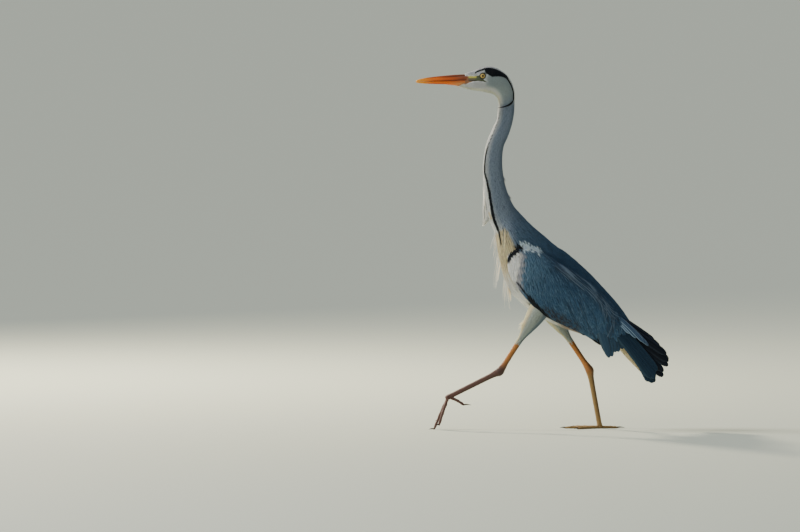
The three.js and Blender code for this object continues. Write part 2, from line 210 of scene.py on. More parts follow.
def rangeOf(tree, value, toMin, toMax, fromMin=0.0, fromMax=1.0):
    return feed(tree, addNode(tree, "ShaderNodeMapRange"), value, fromMin, fromMax, toMin, toMax).outputs[0]


def attributeOf(tree, name):
    return addNode(tree, "ShaderNodeAttribute", attribute_name=name)


def objectPlace(tree):
    return addNode(tree, "ShaderNodeTexCoord").outputs["Object"]


def noiseAt(tree, scale, detail=3.0, stretch=(1, 1, 1)):
    mapping = feed(tree, addNode(tree, "ShaderNodeMapping", Scale=stretch), objectPlace(tree))
    noise = addNode(tree, "ShaderNodeTexNoise", Scale=scale, Detail=detail)
    return feed(tree, noise, mapping.outputs[0]).outputs["Fac"]


# the base colour is a colour times a shade, and the height goes to a bump
def finish(tree, shader, colour, shade, height=None, depth=0.0):
    node = addNode(tree, "ShaderNodeMix", data_type="RGBA", blend_type="MULTIPLY")
    node.inputs[0].default_value = 1.0
    tree.links.new(colour, node.inputs[6])
    tree.links.new(shade, node.inputs[7])
    tree.links.new(node.outputs[2], shader.inputs["Base Color"])
    if height:
        bump = addNode(tree, "ShaderNodeBump", Strength=1.0, Distance=depth)
        tree.links.new(height, bump.inputs["Height"])
        tree.links.new(bump.outputs[0], shader.inputs["Normal"])


def makeFloor():
    bm = bmesh.new()
    bmesh.ops.create_circle(bm, cap_ends=True, segments=floorSet["sides"], radius=floorSet["radius"])
    material, _, shader = newMaterial("pale floor", floorSet["roughness"])
    shader.inputs["Base Color"].default_value = floorSet["colour"]
    floor = bmObject(bm, "floor", material)
    floor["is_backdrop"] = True


def bmObject(bm, name, material=None):
    mesh = bpy.data.meshes.new(name)
    bm.to_mesh(mesh)
    bm.free()
    if material:
        mesh.materials.append(material)
    return addObject(name, mesh)


makeCamera()
makeLights()
makeFloor()
print("stage: camera, lights and floor")


featherSet = {"slant": 1.6, "mottle": (260, 0.86, 1.14), "lines": (0.97, 1.03)}
skinMarks = {
    "mottle": (160, 0.78, 1.2), "cells": 430, "seam": 0.12, "worn": 0.28, "bare": 0.12, "depth": 0.0004,
}


# feathers: the tint attribute, faint mottling, and barbs that slant away from the shaft
def plumageMaterial(name, roughness, barbs, depth, soft):
    material, tree, shader = newMaterial(
        name, roughness, Sheen_Weight=0.04, Sheen_Roughness=0.5, Specular_IOR_Level=0.18,
        Subsurface_Weight=soft, Subsurface_Scale=0.0025, Subsurface_Radius=(1, 0.9, 0.8))
    scale, dark, light = featherSet["mottle"]
    vane = addNode(tree, "ShaderNodeUVMap", uv_map="Vane")
    parts = feed(tree, addNode(tree, "ShaderNodeSeparateXYZ"), vane.outputs[0])
    slant = maths(tree, "MULTIPLY", maths(tree, "ABSOLUTE", parts.outputs[0]), featherSet["slant"])
    slanted = maths(tree, "SUBTRACT", parts.outputs[1], slant)
    wave = maths(tree, "SINE", maths(tree, "MULTIPLY", slanted, barbs))
    mottle = rangeOf(tree, noiseAt(tree, scale), dark, light)
    shade = maths(tree, "MULTIPLY", mottle, rangeOf(tree, wave, *featherSet["lines"], -1, 1))
    finish(tree, shader, attributeOf(tree, "tint").outputs["Color"], shade, wave, depth)
    return material


def skinMaterial():
    material, tree, shader = newMaterial("skin", 0.55)
    scaly = attributeOf(tree, "scaly").outputs["Fac"]
    scale, dark, light = skinMarks["mottle"]
    cells = addNode(tree, "ShaderNodeTexVoronoi", feature="DISTANCE_TO_EDGE", Scale=skinMarks["cells"])
    tree.links.new(objectPlace(tree), cells.inputs["Vector"])
    inside = rangeOf(tree, cells.outputs["Distance"], 0.0, 1.0, 0.0, skinMarks["seam"])
    seams = maths(tree, "SUBTRACT", 1.0, inside)
    scales = maths(tree, "MAXIMUM", maths(tree, "MINIMUM", scaly, 1.0), skinMarks["bare"])
    gap = maths(tree, "MULTIPLY", seams, scales)
    height = maths(tree, "MULTIPLY", maths(tree, "SUBTRACT", maths(tree, "SINE", scaly), gap), 0.5)
    worn = maths(tree, "SUBTRACT", 1.0, maths(tree, "MULTIPLY", gap, skinMarks["worn"]))
    shade = maths(tree, "MULTIPLY", rangeOf(tree, noiseAt(tree, scale, 5), dark, light), worn)
    finish(tree, shader, attributeOf(tree, "tint").outputs["Color"], shade, height, skinMarks["depth"])
    return material


def hornMaterial(name, roughness, streaks, depth, coat=0.0):
    material, tree, shader = newMaterial(name, roughness, Coat_Weight=coat, Coat_Roughness=0.2,
                                         Specular_IOR_Level=0.25)
    grain = noiseAt(tree, 90, 6, streaks)
    shade = rangeOf(tree, grain, 0.78, 1.2)
    finish(tree, shader, attributeOf(tree, "tint").outputs["Color"], shade, grain, depth)
    return material


plumage = plumageMaterial("plumage", 0.85, 5200, 0.00004, 0.5)
quillWeb = plumageMaterial("quill web", 0.55, 4200, 0.00001, 0.0)
skinFinish = skinMaterial()
billFinish = hornMaterial("bill horn", 0.45, (0.25, 1.4, 1.4), 0.0004, 0.03)
clawFinish = hornMaterial("claw horn", 0.42, (1, 1, 1), 0.0002)


# forms: stations of x, z, half depth and half width, or x, y, z, half depth and half width, in mm
headStations = [
    (193, 838.5, 15, 10.5), (180, 839.5, 20.5, 13.5), (162, 841, 25, 17), (145, 842.7, 29.3, 19),
    (128, 842.6, 32, 20), (105.5, 832, 28.8, 19.5), (91.3, 812, 23.8, 18),
]
neckStations = [
    (87.2, 789, 19.4, 16.3), (88.3, 766, 19.6, 15.6), (92.6, 740, 19.2, 15.6), (102, 716, 20.8, 16),
    (114, 687, 20.8, 16.2), (120.2, 647, 22.6, 16.6), (118.2, 602, 24.8, 17.6), (111.8, 563, 28.5, 20.5),
]
trunkStations = [
    (98.5, 521, 34.2, 25.5), (75.4, 483, 41.8, 33), (46.5, 431.5, 62, 44), (13.2, 380.8, 79, 50),
    (-32.5, 342, 79.8, 51), (-79.6, 309.3, 72, 46), (-130.3, 275.4, 57, 36), (-174.5, 241, 43, 25),
    (-212, 216.5, 25, 16), (-229, 207, 9, 7),
]
rumpBeyond = [(-252, 182, 7, 6), (-275, 150, 6, 5)]  # where feathers rooted on the rump run on
bodyEnd = len(headStations + neckStations + trunkStations) - 1.0
neckStart, trunkStart = 7.0, 15.0


# stations without a y lie on the middle plane
def makeForm(stations, egg=0.0, across=left, relief=None):
    rows = [row if len(row) == 5 else (row[0], 0, *row[1:]) for row in stations]
    table = np.array(rows, float) * mm
    table[:, :3] += shift
    return {"table": table, "egg": egg, "across": np.asarray(across, float), "relief": relief}


def curveThrough(table, t):
    last = len(table) - 1
    padded = np.vstack([2 * table[0] - table[1], table, 2 * table[-1] - table[-2]])
    cell = np.clip(np.floor(t).astype(int), 0, last - 1)
    share = (t - cell)[..., None]
    before, start, end, after = (padded[cell + k] for k in range(4))
    bend = 2 * before - 5 * start + 4 * end - after
    twist = 3 * (start - end) + after - before
    point = start + 0.5 * share * (end - before + share * (bend + share * twist))
    slope = 0.5 * (end - before + share * (2 * bend + 3 * share * twist))
    return point, slope


# a point on a form at station t; turn 0 is its back, a quarter turn its left
def formPoint(form, t, turn, grow=0.0):
    t, turn = np.broadcast_arrays(np.asarray(t, float), np.asarray(turn, float))
    row, slope = curveThrough(form["table"], t)
    along = unit(slope[..., :3])
    top = unit(np.cross(form["across"], along))
    out = np.cross(along, top)
    rise = (row[..., 3] + grow) * np.cos(turn)
    reach = (row[..., 4] + grow) * np.sin(turn) * (1 - form["egg"] * np.cos(turn))
    point = row[..., :3] + top * rise[..., None] + out * reach[..., None]
    if form["relief"]:
        upward, outward = np.cos(turn) / row[..., 3], np.sin(turn) / row[..., 4]
        away = unit(top * upward[..., None] + out * outward[..., None])
        point = point + away * form["relief"](point, t, turn)[..., None]
    return point


# the outward normal at a station and turn, with how far a step in either moves the point
def formFrame(form, t, turn, grow=0.0):
    step = 0.01
    ahead = (formPoint(form, t + step, turn, grow) - formPoint(form, t - step, turn, grow)) / (2 * step)
    round_ = (formPoint(form, t, turn + step, grow) - formPoint(form, t, turn - step, grow)) / (2 * step)
    return unit(np.cross(round_, ahead)), np.linalg.norm(ahead, axis=-1), np.linalg.norm(round_, axis=-1)


# folds and swellings of the head: x, z, spread along, spread across, height, all in mm
headRelief = [
    (146, 859.5, 10, 3.5, 0.9), (168, 849, 12, 5, -0.9), (126, 832, 16, 12, 0.8),
    (150, 828, 20, 5, 0.5), (112, 850, 14, 10, 0.6),
]


def headFolds(point, t, turn):
    x, z = sideView(point)
    height = np.zeros(x.shape)
    for midX, midZ, spreadX, spreadZ, tall in headRelief:
        height = height + tall * hump(x, midX, spreadX) * hump(z, midZ, spreadZ)
    groove = hump(z, 837.5 + (x - 137) * 0.1, 1.1) * ramp(x, 134, 142)
    nostril = nearLine(x, z, (187, 853.1), (181.5, 852.4), 1.5, 1.2)
    return (height - 0.8 * groove - 1.3 * nostril) * np.sin(turn) ** 2 * mm * ramp(6.5 - t, 0, 1.5)


body = makeForm(headStations + neckStations + trunkStations + rumpBeyond, egg=0.1, relief=headFolds)

# legs: where the knee and ankle are, and the half sizes down the leg; tibia is 0 to 1, tarsus 1 to 2
legSet = {
    "left": {"side": 1, "knee": (-8, 316), "tibia": 32.2, "tarsus": 63.4},
    "right": {"side": -1, "knee": (1, 314), "tibia": -33.6, "tarsus": -10.4},
}
legSize = {"tibia": 207, "tarsus": 140, "spread": 36, "footSpread": 23, "lean": 3, "toeRadius": 3.6}
legStations = [
    (0, 23, 17), (0.16, 24, 17), (0.3, 20, 14.5), (0.42, 14, 10.5), (0.53, 8, 6.6), (0.64, 6.7, 5.2),
    (0.85, 6.5, 5.2), (0.95, 8.4, 7), (1.01, 10.2, 8.2), (1.08, 8.4, 6.4), (1.2, 6.6, 5), (1.55, 6.1, 4.6),
    (1.88, 6, 5), (2, 6.8, 7),
]
toeSet = {
    "inner": {"long": 64, "fan": 33, "claw": 11, "left": 20, "right": 2},
    "middle": {"long": 84, "fan": 3, "claw": 13, "left": 1.2, "right": 2},
    "outer": {"long": 71, "fan": -31, "claw": 11, "left": 12, "right": 2},
    "hind": {"long": 42, "fan": 186, "claw": 18, "left": 60, "right": 2},
}
# a toe has a pad under each joint, so that it swells there and narrows between
toeStations = [
    (0, 1.25), (0.12, 1.08), (0.22, 1.0), (0.31, 1.16), (0.42, 0.95), (0.52, 0.92), (0.6, 1.06), (0.7, 0.86),
    (0.79, 0.84), (0.86, 0.98), (0.94, 0.8), (1, 0.6),
]
clawSet = {"root": 2.1, "tip": 0.35, "start": -1.5, "stations": 7, "sides": 16, "rings": 28}


def legPoints(leg):
    def swing(pitch, length, inwards):
        pitch = math.radians(pitch)
        return np.array([length * math.sin(pitch), -leg["side"] * inwards, -length * math.cos(pitch)])

    knee = np.array([leg["knee"][0], leg["side"] * legSize["spread"], leg["knee"][1]], float)
    inwards = legSize["spread"] - legSize["footSpread"] - legSize["lean"]
    ankle = knee + swing(leg["tibia"], legSize["tibia"], inwards)
    return knee, ankle, ankle + swing(leg["tarsus"], legSize["tarsus"], legSize["lean"])


def legForm(leg):
    knee, ankle, foot = legPoints(leg)
    rows = []
    for at, depth, width in legStations:
        middle = knee + (ankle - knee) * at if at < 1 else ankle + (foot - ankle) * (at - 1)
        rows.append((*middle, depth, width))
    return makeForm(rows)


# share down the leg, from the number of a station
def legShare(t):
    return np.interp(t, range(len(legStations)), [each[0] for each in legStations])


def toeLine(name, toe):
    shape = toeSet[toe]
    foot = legPoints(legSet[name])[2]
    heading = -legSet[name]["side"] * math.radians(shape["fan"])
    ahead = np.array([math.cos(heading), math.sin(heading), 0])
    tip = foot + ahead * math.sqrt(shape["long"] ** 2 - (foot[2] - shape[name]) ** 2)
    tip[2] = shape[name]
    return foot, tip, ahead


def toeForm(name, toe):
    foot, tip, ahead = toeLine(name, toe)
    settled = foot[2] < 20
    rows = []
    for at, thick in toeStations:
        middle = foot + (tip - foot) * at
        middle[2] = foot[2] + (tip[2] - foot[2]) * (min(at / 0.3, 1) if settled else at)
        middle[2] += 2.5 * math.sin(math.pi * at) * (0.3 if settled else 1)
        radius = legSize["toeRadius"] * thick
        rows.append((*middle, radius, radius * 1.05))
    return makeForm(rows, across=np.cross([0, 0, 1], ahead))


def clawForm(name, toe):
    _, tip, ahead = toeLine(name, toe)
    start, rows = clawSet["start"], []
    for at in np.linspace(0, 1, clawSet["stations"]):
        middle = tip + ahead * (start + (toeSet[toe]["claw"] - start) * at)
        middle[2] += 1.2 * (math.sin(math.pi * at) - at / 2)
        radius = clawSet["root"] + (clawSet["tip"] - clawSet["root"]) * at ** 1.2
        rows.append((*middle, radius, radius * 0.8))
    return makeForm(rows, across=np.cross([0, 0, 1], ahead))


def placesOf(verts):
    return np.array([v.co for v in verts])


# a new sphere, with the row of a sweep and the turn that each vertex stands for, and which are the poles
def sphereRows(sides, rows):
    bm = bmesh.new()
    bmesh.ops.create_uvsphere(bm, u_segments=sides, v_segments=rows + 1, radius=1)
    ball = placesOf(bm.verts)
    level = np.rint(np.arccos(np.clip(ball[:, 2], -1, 1)) / math.pi * (rows + 1)).astype(int)
    pole = (level == 0) | (level == rows + 1)
    return bm, np.clip(level - 1, 0, rows - 1), np.arctan2(ball[:, 1], ball[:, 0]), pole


def smoothFaces(bm):
    for face in bm.faces:
        face.smooth = True


def moveTo(bm, points):
    for v, point in zip(bm.verts, points):
        v.co = point
    bmesh.ops.recalc_face_normals(bm, faces=bm.faces)
    smoothFaces(bm)


# a closed mesh swept over a form: a sphere's rows become its sections
def sweptMesh(form, sides, rows, grow=0.0, shape=None):
    bm, row, turn, pole = sphereRows(sides, len(rows))
    t = np.asarray(rows)[row]
    points = formPoint(form, t, turn, grow(t) if callable(grow) else grow)
    points[pole] = curveThrough(form["table"], t[pole])[0][:, :3]
    moveTo(bm, shape(points, t, turn) if shape else points)
    return bm, t, turn


def settle(piece, slot, *nodes):
    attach(piece, "root")
    if nodes:
        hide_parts(*nodes)


# colours of the plumage and the bare parts
def rgb(red, green, blue):
    share = np.array([red, green, blue]) / 255
    return np.where(share <= 0.04045, share / 12.92, ((share + 0.055) / 1.055) ** 2.4)


tone = {
    "white": (250, 249, 243), "cream": (246, 226, 178), "shadedCheek": (176, 188, 190), "neck": (136, 150, 170),
    "neckPale": (176, 180, 184), "neckDark": (90, 104, 122), "slate": (74, 98, 120), "mantle": (48, 74, 98),
    "black": (4, 11, 22), "covert": (54, 84, 112), "covertDark": (34, 56, 80), "edge": (112, 140, 166),
    "primary": (6, 13, 24), "tail": (24, 46, 64), "thigh": (217, 214, 192), "lore": (196, 186, 70),
    "loreDark": (62, 70, 38), "lid": (16, 16, 14), "legWarm": (178, 110, 36), "legBrown": (92, 56, 46),
    "legPale": (150, 116, 62), "billBrown": (136, 86, 50),
}


def colourOf(colour):
    if isinstance(colour, str):
        colour = tone[colour]
    return rgb(*colour) if isinstance(colour, tuple) else colour


# a base colour over the shape of some numbers, with others mixed over it one by one, each by its mask
def layered(base, like, *layers):
    tint = np.broadcast_to(colourOf(base), (*np.shape(like), 3)).copy()
    for colour, mask in layers:
        mask = np.asarray(mask)[..., None]
        tint = tint * (1 - mask) + colourOf(colour) * mask
    return tint


def shoulderTint(tint, point):
    x, z = sideView(point)
    ragged = 3 * np.sin(x * 0.9) + 2 * np.sin(x * 2.3 + z * 0.4)
    black = np.maximum(nearLines(x, z + ragged, ((73, 428), (60, 438), 8.5), ((60, 436), (53, 438), 6)),
                       nearLine(x, z + ragged * 0.5, (84, 406), (73, 427), 5))
    white = nearLines(x, z + ragged, ((50, 443), (36, 440), 9), ((36, 441), (14, 436), 6),
                      ((14, 436), (5, 431), 3.5))
    white = np.maximum(white, nearLine(x, z + ragged * 0.5, (13, 434), (9, 422), 2))
    return layered(tint, x, ((214, 232, 244), white), ("black", black))


# bare skin: the lore between bill and eye, the lids, and what the bill's root covers
def bareMask(point, s, turn):
    high = np.cos(turn)
    upper = lineAt([0, 0.9, 1.9, 2.8, 3.0, 3.25, 3.6], [0.86, 0.7, 0.5, 0.48, 0.3, 0.0, -0.16], s)
    lower = lineAt([0.4, 0.9, 1.5, 2.1, 3.3, 3.6], [-0.5, -0.3, -0.14, -0.08, -0.24, -0.2], s)
    lore = ramp(upper - high, 0, 0.05) * ramp(high - lower, 0, 0.05)
    return np.maximum(lore, 1 - ramp(fromEye(point), 8.0, 8.7))


# the marking functions give the colour of skin and feathers alike; s is the station, turn 0 is the back
def bodyTint(point, s, turn):
    high = np.cos(turn)
    # neck: grey with a paler front and a darker nape, turning slate at the shoulder
    grey = layered("neck", s, ("neckPale", ramp(-high, 0.15, 0.8)),
                   ("neckDark", 0.75 * ramp(high, 0.45, 1.0)))
    blue = layered("slate", s, ("mantle", ramp(s, 16, 18.5)))
    down = lineAt([13, 14.6, 15.6, 16.5, 18], [1.0, 0.6, 0.1, -0.25, -0.6], s)
    # the white front of the neck ends at a black line, broken into streaks
    line = lineAt([8, 9.5, 10.2, 10.8, 11.1, 12.5, 13.0, 13.6, 14.2, 14.8, 15.3, 15.8, 16.2],
                  [-0.8, -0.8, -0.72, -0.7, -0.8, -0.84, -0.64, -0.52, -0.55, -0.62, -0.7, -0.75, -0.78], s)
    thick = lineAt([7.9, 10.5, 11.3, 12.6, 13.6, 15, 16, 16.5],
                   [0.05, 0.06, 0.09, 0.1, 0.14, 0.13, 0.07, 0], s)
    broken = 0.5 + 0.5 * np.sin(s * 19 + 1.5 * np.sin(s * 5.3))
    streaks = ramp(thick - np.abs(high - line), 0, 0.035) * ramp(s, 7.9, 8.3)
    streaks = streaks * np.maximum(ramp(s, 10.6, 11.4), ramp(broken, 0.35, 0.6))
    flank = hump(high, lineAt([18.2, 19, 20.5, 22], [-0.8, -0.82, -0.8, -0.86], s), 0.11)
    # head: black band from above the eye to the nape, white crown, thin line over the lore
    bandLow = lineAt([3.3, 3.45, 3.84, 4.1, 4.45, 4.75, 5.05, 5.6, 6.9],
                     [0.8, 0.5, 0.33, 0.26, 0.43, 0.6, 0.76, 0.79, 0.8], s)
    bandHigh = lineAt([3.3, 3.6, 4.3, 4.7, 5.0, 5.2, 5.45], [0.86, 0.91, 0.935, 0.965, 1.0, 0.94, 0.86], s)
    band = ramp(high - bandLow, -0.02, 0.04) * ramp(bandHigh - high, 0, 0.02)
    band = band * ramp(s, 3.25, 3.4) * ramp(6.9 - s, 0, 0.3)
    brow = ramp(0.085 - np.abs(high - lineAt([1.9, 2.4, 3.3], [0.72, 0.78, 0.84], s)), 0, 0.03)
    band = np.maximum(band, brow * ramp(s, 1.85, 2.05) * ramp(3.5 - s, 0, 0.1))
    tint = layered(
        "white", s,
        # the sides of the white head are painted grey, as painted shade
        ("shadedCheek", ramp(s, 2.6, 4.2) * ramp(high + 0.75, 0, 0.5) * ramp(0.9 - high, 0, 0.1)),
        ("cream", 0.5 * ramp(-high, 0.5, 0.9) * ramp(9 - s, 0, 2)),
        (grey, ramp(s, 5.6, 7.6) * ramp(high + 0.95, 0, 0.14)),
        (blue, ramp(s, 13.8, 17) * ramp(high, down - 0.25, down + 0.35)),
        ("white", ramp(line - high, -0.02, 0.06) * ramp(s, 6.5, 8) * ramp(16.5 - s, 0, 1)),
        # cream breast, white belly between black flanks, cream towards the tail
        ("cream", 0.85 * ramp(s, 15.4, 16.6) * ramp(-0.12 - high, 0, 0.25) * ramp(18.2 - s, 0, 1)),
        ("white", ramp(s, 17.2, 18.2) * ramp(-0.5 - high, 0, 0.2)),
        ("cream", ramp(s, 21.4, 22.2) * ramp(-0.25 - high, 0, 0.2)),
        # brown-grey on the belly under the wing, partly its own duller tone and partly painted shade
        ((150, 132, 116), ramp(s, 19.2, 20.2) * ramp(-0.4 - high, 0, 0.3) * ramp(22.6 - s, 0, 0.6)),
        ("black", ramp(flank, 0.3, 0.7) * ramp(s, 18.2, 18.6) * ramp(22.4 - s, 0, 0.5)),
        ("black", streaks),
        ("black", band),
        ((196, 166, 104), 0.6 * nearLine(*sideView(point), (129, 522), (124, 508), 2.6, 3)),
    )
    beside = ramp(np.abs(point[..., 1]), 0.018, 0.026) * ramp(s, 15.5, 16)
    return layered(tint, s, (shoulderTint(tint, point), beside))


def bareTint(point, s, turn):
    x, z = sideView(point)
    high = np.cos(turn)
    gape = hump(high, lineAt([0, 1.0, 2.1, 3.4], [0.1, 0.04, -0.04, -0.2], s), 0.06)
    return layered(
        "loreDark", s,
        ((150, 110, 70), ramp(2.0 - s, 0, 0.8) * ramp(0.2 - high, 0, 0.2)),
        ("lore", nearLine(x, z, (176, 849.8), (162, 850.6), 2.6, 5)),
        ((84, 74, 50), nearLine(x, z, (182, 843), (166, 843.5), 3.2, 5)),
        ("lid", 1 - ramp(fromEye(point), 7.6, 8.8)),
        # painted shade along the gape
        ("lid", 0.9 * ramp(gape, 0.2, 0.8)),
        ("billBrown", ramp(1.3 - s, 0, 0.4)),
        # painted shade in the nostril slit
        ((24, 16, 14), nearLine(x, z, (186, 853), (181.5, 852.4), 1.3, 0.8)),
    )


# legs go from warm ochre to brown towards the floor; the left one is the browner
def legTint(name, t, turn):
    low, onset, worn = ("legBrown", 0.8, 0.5) if name == "left" else ("legPale", 0.95, 0.2)
    return layered(
        "legWarm", t,
        (low, ramp(t, onset, onset + 0.22)),
        # the back of each leg is painted dark brown, as painted shade away from the light
        ((56, 34, 24), 0.7 * ramp(np.cos(turn), 0.0, 0.75) * ramp(t, 0.5, 0.7) * ramp(1.9 - t, 0, 0.2)),
        ((52, 28, 22), worn * ramp(hump(t, 1.0, 0.07), 0.2, 0.9)),
        ("thigh", ramp(0.6 - t, 0, 0.05)),
    )


def paint(mesh, colours):
    layer = mesh.attributes.new("tint", "FLOAT_COLOR", "POINT")
    full = np.ones((len(colours), 4), np.float32)
    full[:, :3] = colours
    layer.data.foreach_set("color", full.ravel())


# one skin, under the feathers by the coat's depth and bare on bill root, lores, shanks and feet
skinSet = {
    "sides": 144, "head": 0.05, "neck": 0.14, "trunk": 0.12, "legSides": 28, "legRings": 170, "scute": 4.2,
    "toeSides": 14, "toeRings": 56, "toePhase": 11, "joint": (8, 7.6, 6.3), "soften": 16,
}
lidSet = {"out": 3.6, "lip": 0.9, "inner": 6.2, "ridge": 6.5, "flat": 7.0, "outer": 9.4, "behind": 4}


def coatDepth(s):
    return lineAt([0, 1, 5, 8, 14, 16, 23, 24], [0.5, 1.3, 1.8, 2.6, 4, 6, 5, 2], s) * mm


# the lids stand round the eyeball, and the skin inside them dips behind it
def lidShape(points, t, turn):
    away = fromEye(points)
    near = (away < 9.5) & (np.abs(np.sin(turn)) > 0.5) & (t < 6)
    ball = eyePlace["y"] + lidSet["out"]
    y = np.abs(points[:, 1]) / mm
    rim = ball + lidSet["lip"] * hump(away, lidSet["ridge"], 1.1)
    lid = y + (np.maximum(rim, y) - y) * (1 - ramp(away, lidSet["flat"], lidSet["outer"]))
    inner = lidSet["inner"]
    lid = np.where(away < inner, ball - lidSet["behind"] * ramp(inner - away, 0, 1.2), lid)
    points[near, 1] = (np.sign(points[:, 1]) * lid * mm)[near]
    return points


# the legs, toes and foot joints, each with its colours and the phase of its scutes
def limbMeshes():
    for name, leg in legSet.items():
        bm, t, turn = sweptMesh(
            legForm(leg), skinSet["legSides"], np.linspace(0, len(legStations) - 1, skinSet["legRings"]),
            lambda t: -3 * mm * ramp(0.58 - legShare(t), 0, 0.2))
        t = legShare(t)
        yield bm, legTint(name, t, turn), t * legSize["tarsus"] / skinSet["scute"] * 2 * math.pi * (t > 0.56)
        rows = np.linspace(0, len(toeStations) - 1, skinSet["toeRings"])
        for toe in toeSet:
            bm, t, turn = sweptMesh(toeForm(name, toe), skinSet["toeSides"], rows)
            yield bm, legTint(name, t * 0 + 2, turn), t * skinSet["toePhase"]
        bm = bmesh.new()
        bmesh.ops.create_uvsphere(bm, u_segments=20, v_segments=14, radius=1)
        bmesh.ops.scale(bm, vec=Vector(skinSet["joint"]) * mm, verts=bm.verts)
        bmesh.ops.translate(bm, vec=legPoints(leg)[2] * mm + shift, verts=bm.verts)
        flat = np.zeros(len(bm.verts))
        yield bm, legTint(name, flat + 2, flat), flat + 1


def makeSkin():
    rows = np.concatenate([
        np.arange(0.5, neckStart, skinSet["head"]), np.arange(neckStart, trunkStart, skinSet["neck"]),
        np.arange(trunkStart, bodyEnd + 0.01, skinSet["trunk"]),
    ])
    bm, s, turn = sweptMesh(body, skinSet["sides"], rows, lambda t: -coatDepth(t), lidShape)
    points = placesOf(bm.verts)
    bare = bareMask(points, s, turn)
    tints = layered(bodyTint(points, s, turn), s, (bareTint(points, s, turn), bare))
    skin = bmObject(bm, "skin", skinFinish)
    known, limbs = [(points, tints, np.zeros(len(points)))], []
    for bm, tints, rings in limbMeshes():
        known.append((placesOf(bm.verts), tints, rings))
        limbs.append(bmObject(bm, "limb"))
    for limb in limbs:
        union = skin.modifiers.new("join", "BOOLEAN")
        union.operation, union.solver, union.object = "UNION", "MANIFOLD", limb
    joined = bpy.data.meshes.new_from_object(skin.evaluated_get(bpy.context.evaluated_depsgraph_get()))
    skin.modifiers.clear()
    skin.data = joined
    joined.name = "skin"
    for limb in limbs:
        bpy.data.objects.remove(limb)
    # soften the creases where toes and tarsus meet, and stand the soles on the floor
    bm = bmesh.new()
    bm.from_mesh(joined)
    for leg in legSet.values():
        foot = Vector(legPoints(leg)[2] * mm + shift)
        near = [v for v in bm.verts if (v.co - foot).length < skinSet["soften"] * mm]
        for _ in range(3):
            bmesh.ops.smooth_vert(bm, verts=near, factor=0.5, use_axis_x=True, use_axis_y=True,
                                  use_axis_z=True)
    for v in bm.verts:
        v.co.z = max(v.co.z, 0.0)
    smoothFaces(bm)
    bm.to_mesh(joined)
    bm.free()
    # each vertex takes the colour of the nearest one before the join
    places, colours, rings = (np.concatenate(each) for each in zip(*known))
    tree = KDTree(len(places))
    for index, point in enumerate(places):
        tree.insert(point, index)
    tree.balance()
    nearest = np.array([tree.find(v.co)[1] for v in joined.vertices])
    paint(joined, colours[nearest])
    ringLayer = joined.attributes.new("scaly", "FLOAT", "POINT")
    ringLayer.data.foreach_set("value", rings[nearest].astype(np.float32))
    limbParts = ["thigh", "shank", "tarsus", *(f"toe_{toe}" for toe in toeSet)]
    settle(skin, "leg_skin", "head", "neck_upper", "neck_middle", "neck_lower", "trunk",
           *(f"{part}_{name}" for name in legSet for part in limbParts))


makeSkin()
print("stage: skin")


fineVane = [(-1, 0), (1, 0), (0, 1)]


# coat: many flat closed vanes in one mesh, each a spine with a root, rings of corners and a tip
def vaneMesh(name, spine, normal, half, rise, tints, roots, profile=fineVane, material=plumage, patch=0.003):
    count, steps = spine.shape[0], spine.shape[1] - 1
    profile = np.array(profile, float)
    corners = len(profile)
    along = unit(np.gradient(spine, axis=1))
    side = unit(np.cross(normal, along))
    normal = np.cross(along, side)
    across = half[:, :steps, None] * profile[:, 0]
    lift = normal[:, :steps, None, :] * (rise[:, :steps, None] * profile[:, 1])[..., None]
    rings = spine[:, :steps, None, :] + side[:, :steps, None, :] * across[..., None] + lift
    points = np.concatenate([rings.reshape(count, -1, 3), spine[:, steps:]], axis=1)
    ring = np.arange(corners)
    after = (ring + 1) % corners
    low = np.arange(steps - 1)[:, None] * corners
    walls = np.stack([low + ring, low + after, low + corners + after, low + corners + ring], axis=2)
    last = (steps - 1) * corners
    tips = np.stack([last + ring, last + after, np.full(corners, steps * corners)], axis=1)
    loops = np.concatenate([walls.ravel(), tips.ravel(), ring[::-1]])
    loops = (loops[None, :] + np.arange(count)[:, None] * points.shape[1]).ravel()
    sizes = np.tile(np.concatenate([np.full(last, 4), np.full(corners, 3), [corners]]), count)
    mesh = bpy.data.meshes.new(name)
    mesh.vertices.add(points.shape[0] * points.shape[1])
    mesh.vertices.foreach_set("co", points.astype(np.float32).ravel())
    mesh.loops.add(len(loops))
    mesh.loops.foreach_set("vertex_index", loops.astype(np.int32))
    mesh.polygons.add(len(sizes))
    mesh.polygons.foreach_set("loop_start", (np.cumsum(sizes) - sizes).astype(np.int32))
    # the under side stays flat, so that the shading of the upper side keeps to itself
    upper = profile[after, 0] < profile[ring, 0]
    smooth = np.concatenate([np.tile(upper, steps), [False]])
    mesh.polygons.foreach_set("use_smooth", np.tile(smooth, count))
    mesh.update(calc_edges=True)
    if tints.ndim == 3:
        tints = np.repeat(tints[:, :, None, :], corners, axis=2)
    colours = np.concatenate([tints[:, :steps].reshape(count, -1, 3), tints[:, steps, :1]], axis=1)
    paint(mesh, np.clip(colours.reshape(-1, 3), 0, 1))
    # the vane's own map in metres, and a small patch on the unwrap of the form that carries it
    run = np.cumsum(np.linalg.norm(np.diff(spine, axis=1), axis=2), axis=1)
    run = np.concatenate([np.zeros((count, 1)), run], axis=1)
    across = np.concatenate([across.reshape(count, -1), np.zeros((count, 1))], axis=1)
    reach = np.concatenate([np.repeat(run[:, :steps], corners, axis=1), run[:, steps:]], axis=1)
    widest = np.maximum(half.max(axis=1), 1e-6)[:, None]
    bake = np.stack([across / widest / 2, reach / run[:, steps:] - 0.5], axis=2) * patch
    bake = (roots[:, None, :] + bake).reshape(-1, 2)
    for mapName, values in (("OFBake", bake), ("Vane", np.stack([across, reach], axis=2).reshape(-1, 2))):
        layer = mesh.uv_layers.new(name=mapName)
        layer.uv.foreach_set("vector", values[loops].astype(np.float32).ravel())
    mesh.materials.append(material)
    return addObject(name, mesh)


def shapeAlong(values, k):
    return np.interp(k, np.linspace(0, 1, len(values)), values)


